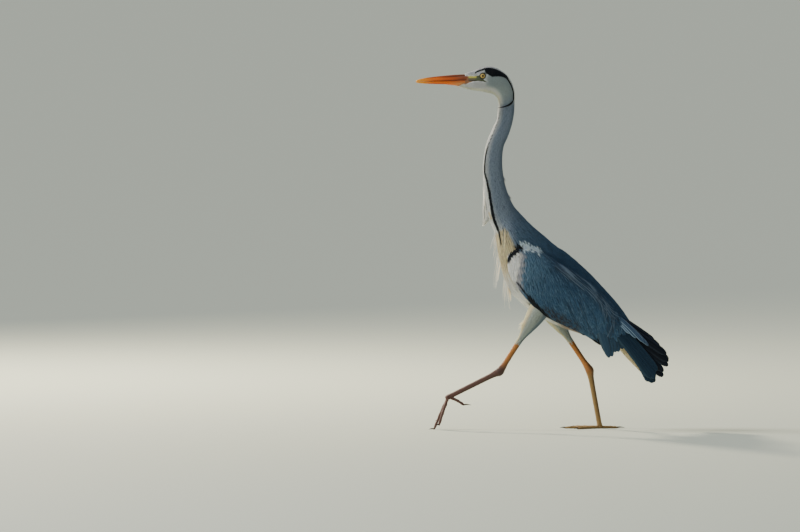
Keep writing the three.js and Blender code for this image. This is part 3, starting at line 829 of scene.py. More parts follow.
# a style's value at a place: a number, a pair of stations and values, or a function
def styled(style, key, t, turn=0.0):
    value = style[key]
    if callable(value):
        return value(t, turn)
    return lineAt(*value, t) if isinstance(value, tuple) else value + 0 * t


# rows of roots across a form, each row set between the places of the one before
def rootRows(form, start, end, style):
    places, turns = [], []
    t, odd = start, 0
    fine = np.linspace(-math.pi, math.pi, 241)
    while t < end:
        ahead, round_ = formFrame(form, np.full(fine.shape, t), fine)[1:]
        reach = np.concatenate([[0], np.cumsum((round_[1:] + round_[:-1]) / 2 * np.diff(fine))])
        count = max(int(reach[-1] / (styled(style, "spacing", t) * mm)), 6)
        share = (np.arange(count) + 0.5 * odd + dice.uniform(-0.35, 0.35, count)) / count
        turns.append(np.interp(share % 1 * reach[-1], reach, fine))
        step = style["step"] * mm / ahead.mean()
        places.append(t + dice.uniform(-0.4, 0.4, count) * step)
        t, odd = t + step, 1 - odd
    return np.concatenate(places), np.concatenate(turns)


# stations passed by something that runs along a form, measured at its own turn
def runAlong(form, t, turn, reach, k):
    path, at = [t], t
    for share in np.repeat(np.diff(k) / 3, 3):
        # on the inside of a bend the stations crowd together, so the run is measured nearer the middle
        least = 0.5 * np.linalg.norm(curveThrough(form["table"], at)[1][:, :3], axis=1)
        at = at + reach * share / np.maximum(formFrame(form, at, turn)[1], least)
        path.append(at)
    return np.stack(path[::3], axis=1)


# where roots lie on an unwrap of the form between two stations
def atlas(t, turn, start, end):
    across = 0.02 + 0.96 * (turn / (2 * math.pi) + 0.5) % 1
    return np.stack([across, 0.02 + 0.96 * (t - start) / (end - start)], axis=1)


# what a style leaves out; "deep" is how far a root lies under the form and "high" how far a tip stands off;
# "root" is how dark a tuft is painted at its root, as painted shade where the tufts overlap
plainStyle = {
    "shape": [0.55, 1.0, 0.8, 0.4], "thick": 0.3, "climb": 0.35, "loose": 0.07, "vary": 0.07, "root": 0.72,
    "fringe": 0, "sway": 0, "profile": fineVane,
}


# tufts that grow along a form; sizes in mm
def growCoat(name, form, t, turn, tintOf, style, span, slot="grey_plumage"):
    style = {**plainStyle, **style}
    steps = style["steps"]
    k = 1 - (1 - np.linspace(0, 1, steps + 1)) ** 1.6
    round_ = formFrame(form, t, turn)[2]
    wild = dice.normal(0, 1, (5, len(t)))
    long = styled(style, "long", t, turn) * mm * (1 + 0.16 * wild[0])
    wide = styled(style, "wide", t, turn) * mm * (1 + 0.12 * wild[1])
    sway = styled(style, "sway", t, turn) + style["loose"] * wild[2]
    tk = runAlong(form, t, turn, long * np.cos(sway), k)
    turnK = turn[:, None] + (long * np.sin(sway) / np.maximum(round_, 4 * mm))[:, None] * k
    deep = styled(style, "deep", t, turn) * mm
    high = styled(style, "high", t, turn) * mm * (1 + 0.25 * wild[3])
    grow = -deep[:, None] + (deep + high)[:, None] * k ** style["climb"]
    spine = formPoint(form, tk, turnK, grow)
    normal = formFrame(form, tk, turnK, grow)[0]
    half = wide[:, None] / 2 * shapeAlong(style["shape"], k)
    tints = tintOf(formPoint(form, tk, turnK), t[:, None] + (tk - t[:, None]) * 0.7, turnK)
    # painted shade: each tuft is darker at its root, where the tufts above cover it, and lighter towards its
    # tip; "vary" is its own random tone
    shade = (1 + style["vary"] * wild[4])[:, None] * (style["root"] + 0.34 * k)
    edge = np.array([abs(each[0]) > 0.8 for each in style["profile"]]) * style["fringe"]
    tints = (tints * shade[..., None])[:, :, None] * (1 + edge)[:, None]
    settle(vaneMesh(name, spine, normal, half, half * style["thick"], tints, atlas(t, turn, *span),
                    style["profile"]), slot)


fineStyle = {"vary": 0.03, "root": 0.95, "thick": 0.12, "climb": 0.2}
headCoat = {
    **fineStyle, "step": 0.95, "spacing": 1.0, "steps": 2, "shape": [0.7, 1, 0.85],
    "long": ([0, 1, 3, 5, 7.5], [3, 3.8, 5.5, 7.5, 9]), "wide": ([0, 2, 7], [1.4, 1.7, 2.1]),
    "deep": lambda t, turn: coatDepth(t) / mm + 0.4, "high": ([0, 1, 5], [0.05, 0.1, 0.2]),
}
neckCoat = {
    "step": 2.1, "spacing": 1.55, "steps": 3, "vary": 0.05, "root": 0.88, "thick": 0.16, "loose": 0.1,
    "climb": 0.26, "long": ([7, 10, 14, 16], [10, 13, 16, 20]), "wide": ([7, 10, 16], [1.9, 2.1, 3.0]),
    "deep": lambda t, turn: coatDepth(t) / mm + 0.5, "high": 0.35,
}
trunkCoat = {
    "step": 3.8, "spacing": 3.6, "steps": 4, "root": 0.82, "loose": 0.05,
    "long": ([15, 17, 20, 24], [20, 28, 36, 42]), "wide": ([15, 17, 20, 24], [3.8, 5, 5.6, 6]),
    "sway": lambda t, turn: 0.25 * np.sin(turn) * ramp(t, 16, 18),
    "deep": lambda t, turn: coatDepth(t) / mm + 0.5, "high": 0.6,
}


bodyCoats = {
    "coat_head": (headCoat, (0.1, 7.0)), "coat_neck_upper": (neckCoat, (6.9, 11.6)),
    "coat_neck_lower": (neckCoat, (11.5, 15.2)), "coat_trunk": (trunkCoat, (15.0, 23.6)),
}


# the head's tufts leave lores, lids and the root of the bill bare
def coatBody():
    for name, (style, span) in bodyCoats.items():
        t, turn = rootRows(body, *span, style)
        if name == "coat_head":
            bare = bareMask(formPoint(body, t, turn), t, turn) > 0.5
            keep = ~bare & ((t > 0.5) | (np.cos(turn) < -0.35))
            t, turn = t[keep], turn[keep]
        halves = {"_left": turn > 0, "_right": turn <= 0} if name == "coat_trunk" else {"": slice(None)}
        for half, kept in halves.items():
            growCoat(name + half, body, t[kept], turn[kept], bodyTint, style, span)


coatBody()
print("stage: coat")


# small feathers of the chin run forward over the root of the lower bill
chinForm = makeForm([(206, 834.4, 9.3, 9.2), (199, 834.9, 10.9, 9.8), (192, 836.6, 14.2, 10.9),
                     (184, 839.2, 19.3, 12.9), (172, 840.2, 23, 15.5), (162, 841, 25.4, 17.2)])
chinCoat = {
    **fineStyle, "step": 1.0, "spacing": 1.1, "steps": 3, "long": ([0, 3], [4, 5]), "wide": 1.3,
    "deep": ([0, 2], [0.6, 1.2]), "high": 0.15,
}


def chinTint(point, t, turn):
    streak = nearLine(*sideView(point), (194, 835.5), (160, 820.8), 0.7, 1.0)
    return layered((246, 240, 222), t, ((140, 110, 80), 0.7 * streak))


# they reach furthest forward along the keel and give way to horn towards the gape
def coatChin():
    t, turn = rootRows(chinForm, 0.0, 3.6, chinCoat)
    edge = lineAt([0, 0.6, 1.4, 2.2, 3, 3.6], [-0.9, -0.62, -0.34, -0.3, -0.4, -0.9], t)
    keep = np.cos(turn) < edge + 0.04 * dice.normal(0, 1, len(t))
    growCoat("coat_chin", chinForm, t[keep], turn[keep], chinTint, chinCoat, (0, 4), "pale_plumage")


coatChin()
print("stage: chin")


# bill: two mandibles swept from inside the face to the tip; share, upper, lower, half width
billSet = {
    "x": 187, "z": 842.6, "drop": 5, "long": 118, "gap": 0.35, "sides": 64, "side": 0.72,
    "rounding": 0.955, "end": 0.052,
}
billStations = [
    (-0.06, 13, 18.2, 11), (0.06, 13.2, 16.6, 10.6), (0.22, 13, 12.4, 9.2), (0.42, 11.9, 8.8, 7.2),
    (0.6, 10.7, 7.4, 5.8), (0.78, 8.9, 5.8, 4.4), (0.91, 6.5, 3.9, 3.2), (1, 3.6, 2.2, 1.9),
]


# orange horn, brown over the ridge and pale below at the base, yellower at the tip; painted shade darkens
# the cutting edges, the groove, the nostril and the underside of the lower bill
def billTint(half, at, high, groove, nostril):
    if half == "upper":
        layers = [
            ((168, 62, 8), 0.6 * ramp(0.6 - at, 0, 0.25)),
            ((128, 62, 34), ramp(high, 0.45, 0.75) * ramp(0.6 - at, 0, 0.3)),
            ((116, 58, 30), 0.85 * ramp(0.36 - at, 0, 0.34)),
            ((150, 106, 88), 0.6 * hump(high, 0.58, 0.08) * ramp(0.24 - at, 0, 0.2)),
            ((122, 54, 26), 0.8 * ramp(high, 0.66, 0.9) * ramp(at, 0.25, 0.5) * ramp(0.95 - at, 0, 0.25)),
            # painted shade in the groove and in the nostril
            ((70, 34, 26), 0.85 * groove),
            ((22, 14, 12), ramp(nostril, 0.35, 0.8)),
            # painted shade along the upper cutting edge
            ((96, 36, 14), 0.8 * ramp(0.16 - high, 0, 0.12) * ramp(0.95 - at, 0, 0.3)),
        ]
    else:
        layers = [
            ((164, 66, 14), 0.5 * ramp(0.6 - at, 0, 0.2) * ramp(0.5 - high, 0, 0.3)),
            ((190, 142, 88), ramp(0.38 - at, 0, 0.36) * (0.2 + 0.65 * ramp(high, 0.1, 0.6))),
            # painted shade on the underside of the lower bill
            ((128, 42, 10), 0.75 * ramp(high, 0.55, 0.95) * ramp(at, 0.2, 0.5) * ramp(0.98 - at, 0, 0.2)),
            # painted shade along the lower cutting edge
            ((110, 44, 18), 0.7 * ramp(0.2 - high, 0, 0.16) * ramp(0.95 - at, 0, 0.3)),
        ]
    return layered((226, 104, 0), at, *layers, ((232, 164, 34), 0.75 * ramp(at, 0.62, 1.0)))


def billMesh(half):
    up = 1 if half == "upper" else -1
    table = np.array(billStations)
    tip = 0.94 + 0.065 * np.sin(np.linspace(0.1, 1, 14) * math.pi / 2)
    rows = np.concatenate([np.linspace(-0.06, 0.94, 150), tip])
    bm, row, turn, pole = sphereRows(billSet["sides"], len(rows))
    at = rows[row]
    end = np.sqrt(np.clip(1 - (np.maximum(at - billSet["rounding"], 0) / billSet["end"]) ** 2, 0, 1))
    tall = np.interp(at, table[:, 0], table[:, 1 if up > 0 else 2]) * end
    wide = np.interp(at, table[:, 0], table[:, 3]) * (1 if up > 0 else 0.94) * end
    # a half round on a flat gape side, with the cutting edge between them
    side = billSet["side"]
    round_ = np.clip(np.abs(turn) / (side * math.pi), 0, 1) * math.pi / 2
    flat = np.clip((np.abs(turn) / math.pi - side) / (1 - side), 0, 1)
    high = np.cos(round_)  # 1 on the ridge, 0 on the cutting edge
    groove = hump(high, 0.73, 0.07) * ramp(at, -0.06, 0.0) * (1 - ramp(at, 0.2, 0.45)) * (up > 0)
    nostril = hump(high, 0.76, 0.1) * hump(at, -0.012, 0.028) * (up > 0)
    reach = np.sign(turn) * np.sin(round_) ** 0.9 * (1 - flat) * (1 - 0.1 * groove - 0.12 * nostril)
    reach[pole] = 0
    high = high ** (1.0 if up > 0 else 0.85)
    z = billSet["z"] - billSet["drop"] * at + up * billSet["gap"] / 2
    z = z + up * tall * (high + 0.06 * flat) + 0.25 * np.sin(at * 23) * (1 - high)
    moveTo(bm, np.stack([billSet["x"] + billSet["long"] * at, wide * reach, z], axis=1) * mm + shift)
    piece = bmObject(bm, f"bill_{half}_horn", billFinish)
    paint(piece.data, billTint(half, at, high, groove, nostril))
    settle(piece, "bill_horn", f"bill_{half}")


billMesh("upper")
billMesh("lower")


# eyes: a ball with a raised cornea, its iris and pupil drawn by the distance from its axis
eyeSet = {
    "bulge": 0.5, "cornea": 4.6, "reach": 8.0,
    "rings": [(0.0, (4, 4, 5)), (0.29, (6, 6, 6)), (0.315, (150, 112, 48)), (0.42, (198, 168, 92)),
              (0.6, (204, 176, 104)), (0.71875, (110, 84, 38)), (0.78, (8, 7, 6))],
}


def eyeMaterial():
    material, tree, shader = newMaterial("eye", 0.12, Specular_IOR_Level=0.25)
    centre = place(eyePlace["x"], 0, eyePlace["z"])
    offset = addNode(tree, "ShaderNodeMapping", Location=(-centre[0], 0, -centre[2]))
    flat = addNode(tree, "ShaderNodeMapping", Scale=(1 / mm, 0, 1 / mm))
    feed(tree, flat, feed(tree, offset, objectPlace(tree)).outputs[0])
    away = feed(tree, addNode(tree, "ShaderNodeVectorMath", operation="LENGTH"), flat.outputs[0])
    rings = addNode(tree, "ShaderNodeValToRGB")
    stops = rings.color_ramp.elements
    while len(stops) < len(eyeSet["rings"]):
        stops.new(0.5)
    for element, (at, colour) in zip(stops, eyeSet["rings"]):
        element.position, element.color = at, (*rgb(*colour), 1)
    feed(tree, rings, maths(tree, "DIVIDE", away.outputs["Value"], eyeSet["reach"]))
    finish(tree, shader, rings.outputs[0], rangeOf(tree, noiseAt(tree, 900, 4), 0.8, 1.15))
    return material


def makeEyes():
    eyeFinish = eyeMaterial()
    for name, side in sideOf.items():
        bm = bmesh.new()
        bmesh.ops.create_uvsphere(bm, u_segments=64, v_segments=48, radius=1)
        turned = Vector((0, 0, 1)).rotation_difference(Vector((0, side, 0))).to_matrix()
        bmesh.ops.rotate(bm, matrix=turned, verts=bm.verts)
        for v in bm.verts:
            off = math.hypot(v.co.x, v.co.z) * eyePlace["radius"]
            bulge = max(0, 1 - (off / eyeSet["cornea"]) ** 2) if v.co.y * side > 0 else 0
            v.co = v.co * (eyePlace["radius"] + eyeSet["bulge"] * bulge) * mm
        centre = Vector(place(eyePlace["x"], side * eyePlace["y"], eyePlace["z"]))
        bmesh.ops.translate(bm, vec=centre, verts=bm.verts)
        smoothFaces(bm)
        settle(bmObject(bm, f"eyeball_{name}", eyeFinish), "eye", f"eye_{name}")


makeEyes()


def makeClaws():
    for name in legSet:
        for toe in toeSet:
            rows = np.linspace(0, clawSet["stations"] - 1, clawSet["rings"])
            bm, t, _ = sweptMesh(clawForm(name, toe), clawSet["sides"], rows)
            for v in bm.verts:
                v.co.z = max(v.co.z, 0.0)
            piece = bmObject(bm, f"claw_{toe}_{name}_horn", clawFinish)
            paint(piece.data, layered((64, 50, 42), t, ((22, 20, 20), ramp(t, 1, 5))))
            settle(piece, "claw_horn", f"claw_{toe}_{name}")


makeClaws()

# crest plumes: station, degrees round from the nape, and radius
crestSet = {
    "left": [(4.6, 34, 1.2), (5.1, 36, 1.4), (5.7, 35, 1.5), (6.3, 34, 1.6), (6.8, 36, 1.9),
             (7.1, 52, 1.8), (7.35, 82, 1.4), (7.52, 112, 1.1), (7.62, 140, 0.9), (7.66, 168, 0.5)],
    "right": [(4.6, -34, 1.2), (5.2, -36, 1.4), (5.9, -34, 1.5), (6.6, -30, 1.6), (7.3, -28, 1.6),
              (7.9, -30, 1.4), (8.4, -34, 1.2), (8.9, -40, 0.8), (9.3, -46, 0.5)],
}
crestVane = {"count": 34, "steps": 12, "half": 0.95, "thick": 0.45, "shape": [0.5, 1, 1, 0.7, 0.3]}
strandShape = [0.6, 1, 0.9, 0.6, 0.3]


# each crest plume is a bundle of narrow black vanes that lie along one another
def makeCrest():
    for name, rows in crestSet.items():
        s, turn, radius = np.array(rows, float).T
        last, count, steps = len(rows) - 1, crestVane["count"], crestVane["steps"]
        k = np.linspace(0, 1, steps + 1)
        start = np.sort(dice.uniform(0, 0.62, count)) * last
        end = np.minimum(start + dice.uniform(0.3, 0.45, count) * last, last)
        along = start[:, None] + (end - start)[:, None] * k
        sk, turnK, wide = (np.interp(along, range(last + 1), each) for each in (s, turn, radius))
        turnK = np.radians(turnK)
        offset = dice.uniform(-1, 1, count)[:, None] * wide * (1 - 0.4 * k)
        high = (0.5 + 1.1 * (1 - np.abs(offset) / 2.2) + 0.4 * k) * mm
        spine = formPoint(body, sk, turnK, high)
        normal = formFrame(body, sk, turnK, high)[0]
        side = unit(np.cross(normal, np.gradient(spine, axis=1)))
        spine = spine + side * (offset * mm)[..., None]
        half = crestVane["half"] * mm * shapeAlong(crestVane["shape"], k) * np.ones((count, 1))
        tints = np.broadcast_to(colourOf("black") * 0.5, (count, steps + 1, 3))
        roots = np.stack([0.05 + 0.9 * dice.uniform(0, 1, count), 0.02 + 0.96 * start / last], axis=1)
        piece = vaneMesh(f"crest_vane_{name}", spine, normal, half, half * crestVane["thick"], tints, roots,
                         material=quillWeb)
        settle(piece, "black_plumage", f"crest_plume_{name}")


makeCrest()
print("stage: bill, eyes, claws and crest")


# wings: coverts over a closed core, hanging a little steeper than the wing itself lies
wingStations = [
    (73, 433, 33, 14, 7), (62, 420, 37, 30, 13), (44, 401, 40, 46, 17), (12, 371, 44, 56, 21),
    (-32.5, 334.5, 46, 63, 22), (-82, 304, 42, 60, 22), (-127.5, 272, 35, 51, 19), (-163, 238, 27, 42, 15),
    (-186, 212, 21, 30, 10), (-200, 192, 18, 13, 5),
]
wingSet = {"sides": 64, "rings": 140, "coreEnd": 8.1, "rootsEnd": 8.9, "coreShade": 0.7}
wingCoat = {
    "step": 5.2, "steps": 5, "vary": 0.065, "root": 0.9, "thick": 0.13, "loose": 0.06,
    "spacing": ([0, 2, 4.5], [1.9, 2.4, 3.3]), "profile": [(-1, 0), (0, -0.25), (1, 0), (0, 1)],
    "fringe": 0.12, "shape": [0.5, 0.9, 1.0, 0.85, 0.45], "long": ([0, 1, 3, 6, 9], [16, 24, 34, 42, 46]),
    "wide": ([0, 2, 4.5, 9], [2.5, 3.1, 4.8, 5.6]), "deep": 2.2, "high": 0.7,
    "sway": lambda t, turn: 0.66 * np.sin(turn) * ramp(t, 0, 1.5),
}


def wingForm(side):
    return makeForm([(x, side * y, z, depth, width) for x, z, y, depth, width in wingStations])


def wingTint(point, t, turn):
    x, z = sideView(point)
    high = np.cos(turn)
    streak = 0.5 + 0.5 * np.sin(x * 1.9 + 0.5 * z + 2.2 * np.sin(z * 0.13) + 1.7 * np.sin(x * 0.31))
    low = nearLine(x, z, (-8, 284), (-74, 247), 15, 14)
    ragged = 3 * np.sin(z * 0.35) + 3 * np.sin(x * 2.1 + z * 0.9) + 2 * np.sin(x * 5.3 - z * 1.7)
    front = ramp(x - 0.1 * (360 - z) + ragged, 42, 58) * ramp(434 - z, 0, 12)
    rim = ramp(x + 0.22 * (z - 385) + 0.5 * ragged, 55, 64) * ramp(432 - z, 0, 10)
    flank = nearLines(x, z, ((62, 357), (34, 322), 1.8), ((32, 319), (-12, 270), 5.5),
                      ((-12, 268), (-62, 245), 3))
    tint = layered(
        "covert", t,
        ("covertDark", 0.7 * ramp(high, 0.1, 0.9) + 0.2 * ramp(t, 5, 9) * ramp(-high, -0.3, 0.6)),
        ((86, 116, 140), 0.75 * ramp(x, -60, 45) * ramp(z, 300, 400)),
        ("edge", 0.3 * ramp(streak, 0.8, 1.0) * ramp(t, 1, 3)),
        ((46, 42, 44), low * ramp(streak, 0.15, 0.6) * 0.85),
        ((176, 172, 178), 0.9 * front),
        ((255, 250, 238), rim),
        ("black", flank),
    )
    return shoulderTint(tint, point)


def coatWings():
    for name, side in sideOf.items():
        form = wingForm(side)
        rows = np.linspace(0, wingSet["coreEnd"], wingSet["rings"])
        bm, t, turn = sweptMesh(form, wingSet["sides"], rows, lambda t: -(2.6 + 3 * ramp(t, 6.5, 8)) * mm)
        core = bmObject(bm, f"wing_core_{name}", plumage)
        paint(core.data, wingTint(placesOf(core.data.vertices), t, turn) * wingSet["coreShade"])
        settle(core, "grey_plumage", f"wing_{name}")
        t, turn = rootRows(form, 0.0, wingSet["rootsEnd"], wingCoat)
        keep = (np.sin(turn) * side > -0.45) & (t < 6.5 + 0.7 * np.cos(turn))
        growCoat(f"coat_wing_{name}", form, t[keep], turn[keep], wingTint, wingCoat, (0, 9))


coatWings()
print("stage: wings")


# quills: long feathers with a shaft, fanned between the rows of a table of
# root x, y, z, tip x, y, z, half width and roll, in mm and degrees, for the left side
quillProfile = [
    (-1, -0.9), (-0.5, -0.6), (0, -0.6), (0.5, -0.6), (1, -0.9), (0.5, -0.15), (0.07, 0.1), (0, 0.55),
    (-0.07, 0.1), (-0.5, -0.15),
]
quillSets = {
    "primaries": {
        "count": 8, "rise": 1.0, "tint": "primary", "rim": (36, 48, 66), "tip": 0.88,
        "rows": [(-146, 21, 291, -257, 5, 221, 7, 20), (-146, 21, 290, -270, 6, 212, 7.5, 20),
                 (-143, 21, 285, -282, 7, 199, 8, 18), (-141, 21, 281, -298, 8, 181, 9, 16),
                 (-139, 21, 277, -304, 8, 165, 9.5, 14), (-137, 21, 272, -303, 7.5, 151, 9, 10),
                 (-137, 21, 267, -292, 8, 139, 9, 8), (-136, 21, 262, -290, 8, 126, 8, 6)],
        "nodes": ["primaries_left", "primaries_right"], "slot": "black_plumage",
    },
    "rectrices": {
        "count": 6, "rise": 0.8, "tint": "tail", "rim": (60, 84, 104), "tip": 0.93,
        "rows": [(-186, 2, 243, -273, 3, 116, 11, 72), (-186, 5, 237, -266, 11, 112, 11, 46),
                 (-190, 7, 230, -257, 16, 118, 9, 24)],
        "nodes": ["tail"],
    },
    "secondaries": {
        "count": 14, "tint": "black", "rim": (30, 34, 42), "tip": 0.8,
        "rows": [(-12, 50, 306, -66, 40, 257, 7, 4), (-48, 48, 290, -106, 35, 229, 7, 4),
                 (-88, 42, 264, -142, 30, 205, 7, 4)],
    },
    "tertials": {
        "count": 9, "tint": (42, 66, 88), "rim": (62, 88, 110), "tip": 0.6,
        "rows": [(-110, 55, 294, -148, 34, 204, 11, 8), (-118, 55, 288, -156, 33, 184, 11.5, 6),
                 (-126, 53, 284, -162.5, 32, 171.5, 11, 6), (-138, 49, 280, -174, 30, 184, 11, 6),
                 (-150, 44, 270, -188, 26, 190, 10, 6), (-164, 36, 256, -204, 20, 202, 9, 6)],
    },
    "drooping_tertials": {
        "count": 7, "bow": 5, "tint": (22, 44, 62), "rim": (44, 72, 94), "tip": 0.9,
        "rows": [(-135, 40, 306, -276, 18, 141, 9, 12), (-131, 42, 290, -271, 19, 122, 9, 10),
                 (-132, 41, 282, -258, 19, 124, 8, 8)],
    },
    "long_tertials": {
        "count": 5, "bow": 5, "tint": (58, 80, 106), "rim": (156, 182, 210), "tip": 0.88,
        "rows": [(-140, 44, 304, -213, 29, 231, 8, 24), (-150, 40, 296, -243, 22, 212, 5.5, 24),
                 (-158, 36, 292, -257, 17, 201, 4.5, 26)],
    },
}
plainQuill = {
    "rise": 0.9, "bow": 4, "wander": 1.2, "layer": 0.35, "steps": 26, "nodes": [], "slot": "grey_plumage",
}


def makeQuills(name, kind):
    kind = {**plainQuill, **kind}
    table = np.array(kind["rows"], float)
    count, steps = kind["count"], kind["steps"]
    at = np.linspace(0, len(table) - 1, count)
    rows = np.stack([np.interp(at, range(len(table)), column) for column in table.T], axis=1)
    k = 1 - (1 - np.linspace(0, 1, steps + 1)) ** 1.5
    spines, normals = [], []
    for side in sideOf.values():
        mirror = np.array([1, side, 1])
        root, tip = rows[:, :3] * mirror * mm + shift, rows[:, 3:6] * mirror * mm + shift
        layer = side * (np.arange(count) - count / 2) * kind["layer"] * mm
        tip = tip + dice.normal(0, 1, (count, 3)) * mm * kind["wander"]
        root[:, 1] += layer
        tip[:, 1] += layer
        along = unit(tip - root)
        top = unit(np.cross(left, along))
        out = np.cross(along, top)
        roll = np.radians(rows[:, 7])[:, None]
        normal = np.sin(roll) * top + side * np.cos(roll) * out
        bow = kind["bow"] * mm * (1 + 0.2 * dice.normal(0, 1, count))[:, None, None]
        bow = bow * np.sin(math.pi * k)[None, :, None]
        spine = root[:, None] + (tip - root)[:, None] * k[None, :, None]
        spines.append(spine + top[:, None] * bow * 0.6 + normal[:, None] * bow * 0.3)
        normals.append(np.repeat(normal[:, None], steps + 1, axis=1))
    past = np.clip((k - kind["tip"]) / (1 - kind["tip"]), 0, 1)
    shape = np.interp(k, [0, 0.12, 0.5, kind["tip"]], [0.3, 0.72, 0.97, 1.0]) * np.sqrt(1 - past ** 2)
    shape[-2] = max(shape[-2], 0.2)
    half = np.tile(rows[:, 6], 2)[:, None] * mm * shape
    rise = kind["rise"] * mm * (1 - 0.6 * k) * np.ones_like(half)
    # the rim and the shaft are paler than the web
    across = np.abs(np.array(quillProfile)[:, 0])
    mask = np.broadcast_to((across > 0.8) * 0.9, (2 * count, steps + 1, len(across)))
    tints = layered(kind["tint"], mask, (kind["rim"], mask), (kind["rim"], 0 * mask + (across < 0.05) * 0.5))
    tints = tints * (1 + 0.1 * dice.normal(0, 1, (2 * count, 1, 1, 1)))
    column = (np.arange(2 * count) + 0.5) / (2 * count)
    roots = np.stack([column, np.full(2 * count, 0.5)], axis=1)
    patch = np.array([0.8 / (2 * count), 0.94])
    piece = vaneMesh(f"{name}_vanes", np.concatenate(spines), np.concatenate(normals), half, rise, tints,
                     roots, quillProfile, quillWeb, patch)
    settle(piece, kind["slot"], *kind["nodes"])


for quillName, quillKind in quillSets.items():
    makeQuills(quillName, quillKind)
print("stage: quills")


# loose plumes: each bundle fills a slender form with single strands
plumeSets = {
    "foreneck": {
        "nodes": ["foreneck_plume"], "count": 420, "tint": "white", "other": (240, 236, 222), "wide": 3.2,
        "rows": [(127, 640, 4, 8), (131.5, 612, 6, 10), (134.5, 590, 8, 10), (135, 565, 9, 10),
                 (134.5, 535, 9.5, 9), (135, 512, 8.5, 8), (139.5, 499, 5, 5), (144.5, 489, 1.2, 1.5)],
        "strays": [],
    },
    "breast": {
        "nodes": ["breast_plumes"], "count": 480, "tint": (255, 240, 196), "other": (222, 200, 158),
        "rows": [(108, 515, 6, 14), (108, 500, 7, 17), (104, 482, 8, 18), (95, 450, 9, 18),
                 (89.5, 415, 9, 17), (84, 380, 6.5, 12), (80.5, 345, 4, 7), (77, 304, 1.5, 2)],
        "wide": 1.3,
        "strays": [(108, 476, 122, 436), (107, 455, 118, 412), (106, 432, 113, 388), (104, 412, 115, 334),
                   (101, 402, 108, 356), (93, 362, 92, 306), (88, 348, 82, 286), (106, 484, 117, 452)],
    },
}
plumeSteps = 12


def makePlumes(name, kind):
    form = makeForm(kind["rows"])
    count = kind["count"]
    last = len(kind["rows"]) - 1
    k = np.linspace(0, 1, plumeSteps + 1)
    start = dice.uniform(0, 0.62, count) * last
    end = np.minimum(start + dice.uniform(0.3, 0.62, count) * last, last * dice.uniform(0.86, 1.0, count))
    turn = dice.uniform(-math.pi, math.pi, count)
    share = np.sqrt(dice.uniform(0.1, 1.0, count))
    t = start[:, None] + (end - start)[:, None] * k
    middle = curveThrough(form["table"], t)[0][..., :3]
    skin = formPoint(form, t, turn[:, None] + 0.25 * np.sin(3 * k + start[:, None]))
    spine = middle + (skin - middle) * (share[:, None] * (0.75 + 0.35 * k))[..., None]
    normal = unit(skin - middle)
    thin = dice.uniform(0.6, 1.3, count)
    # a few strands hang clear of the rest
    run = k[None, :, None]
    for x0, z0, x1, z1 in kind["strays"]:
        loose = dice.integers(0, count, 5)
        root = place(x0, 0, z0) + dice.normal(0, 2, (5, 3)) * mm
        tip = place(x1, 0, z1) + dice.normal(0, 3, (5, 3)) * mm
        bow = np.array([1, 0, 0]) * mm * dice.uniform(-1, 3.5, (5, 1, 1)) * np.sin(math.pi * run)
        spine[loose] = root[:, None] + (tip - root)[:, None] * run + bow
        thin[loose] = 0.45
    half = kind["wide"] / 2 * mm * shapeAlong(strandShape, k) * thin[:, None]
    blend = np.repeat(dice.uniform(0, 1, count)[:, None], plumeSteps + 1, axis=1)
    # the strands are painted darker at their roots, as painted shade inside the bundle
    tints = layered(kind["tint"], blend, (kind["other"], blend)) * (0.86 + 0.16 * k)[None, :, None]
    roots = np.stack([0.02 + 0.96 * (turn / (2 * math.pi) + 0.5), 0.02 + 0.96 * start / last], axis=1)
    piece = vaneMesh(f"{name}_plume_vanes", spine, normal, half, half * 0.3, tints, roots)
    settle(piece, "pale_plumage", *kind["nodes"])


for plumeName, plumeKind in plumeSets.items():
    makePlumes(plumeName, plumeKind)


# scapular plumes: pale narrow strands that follow the back over the top of each wing
scapularSet = {
    "upper": 150, "lower": 40, "steps": 12, "long": (45, 85), "wide": 1.5, "end": 8.6,
    "shape": [0.6, 1, 0.9, 0.7, 0.3],
}


def makeScapulars():
    for name, side in sideOf.items():
        form = wingForm(side)
        count = scapularSet["upper"] + scapularSet["lower"]
        low = np.arange(count) >= scapularSet["upper"]
        k = np.linspace(0, 1, scapularSet["steps"] + 1)
        t = np.where(low, dice.uniform(4.0, 6.6, count), dice.uniform(2.6, 6.4, count))
        lowTurn = dice.uniform(0.9, 2.1, count)
        turn = side * np.where(low, lowTurn, dice.uniform(0.1, 0.75, count) + 0.25 * ramp(t, 4, 7))
        ahead, round_ = formFrame(form, t, turn)[1:]
        long = dice.uniform(*scapularSet["long"], count) * mm
        sway = np.where(low, 0.66 * np.abs(np.sin(turn)), 0.12 + 0.3 * ramp(t, 4, 7))[:, None]
        curl = (dice.normal(0, 0.3, count) * ramp(t, 4, 6.5) * ~low)[:, None]
        tk = t[:, None] + (long / ahead)[:, None] * k * np.cos(sway) * (1 - 0.12 * k * np.abs(curl))
        tk = np.minimum(tk, scapularSet["end"])
        swing = side * (long / np.maximum(round_, 22 * mm))[:, None]
        turnK = turn[:, None] + swing * (np.sin(sway) * k + curl * k ** 3)
        spine = formPoint(form, tk, turnK, np.broadcast_to((-1 + 2.6 * k ** 0.5) * mm, tk.shape))
        normal = formFrame(form, tk, turnK)[0]
        half = scapularSet["wide"] / 2 * mm * shapeAlong(scapularSet["shape"], k)
        half = half * dice.uniform(0.6, 1.3, count)[:, None]
        pale = dice.uniform(0.1, 1, count) ** 1.4 * np.where(low, 0.2, 0.9 - 0.5 * ramp(t, 5.4, 6.4))
        tints = layered("covertDark", tk, ((146, 168, 192), pale[:, None] * ramp(k, 0.15, 0.7)))
        roots = atlas(t, turn, 0, 9)
        piece = vaneMesh(f"scapular_vanes_{name}", spine, normal, half, half * 0.3, tints, roots)
        settle(piece, "grey_plumage")


makeScapulars()

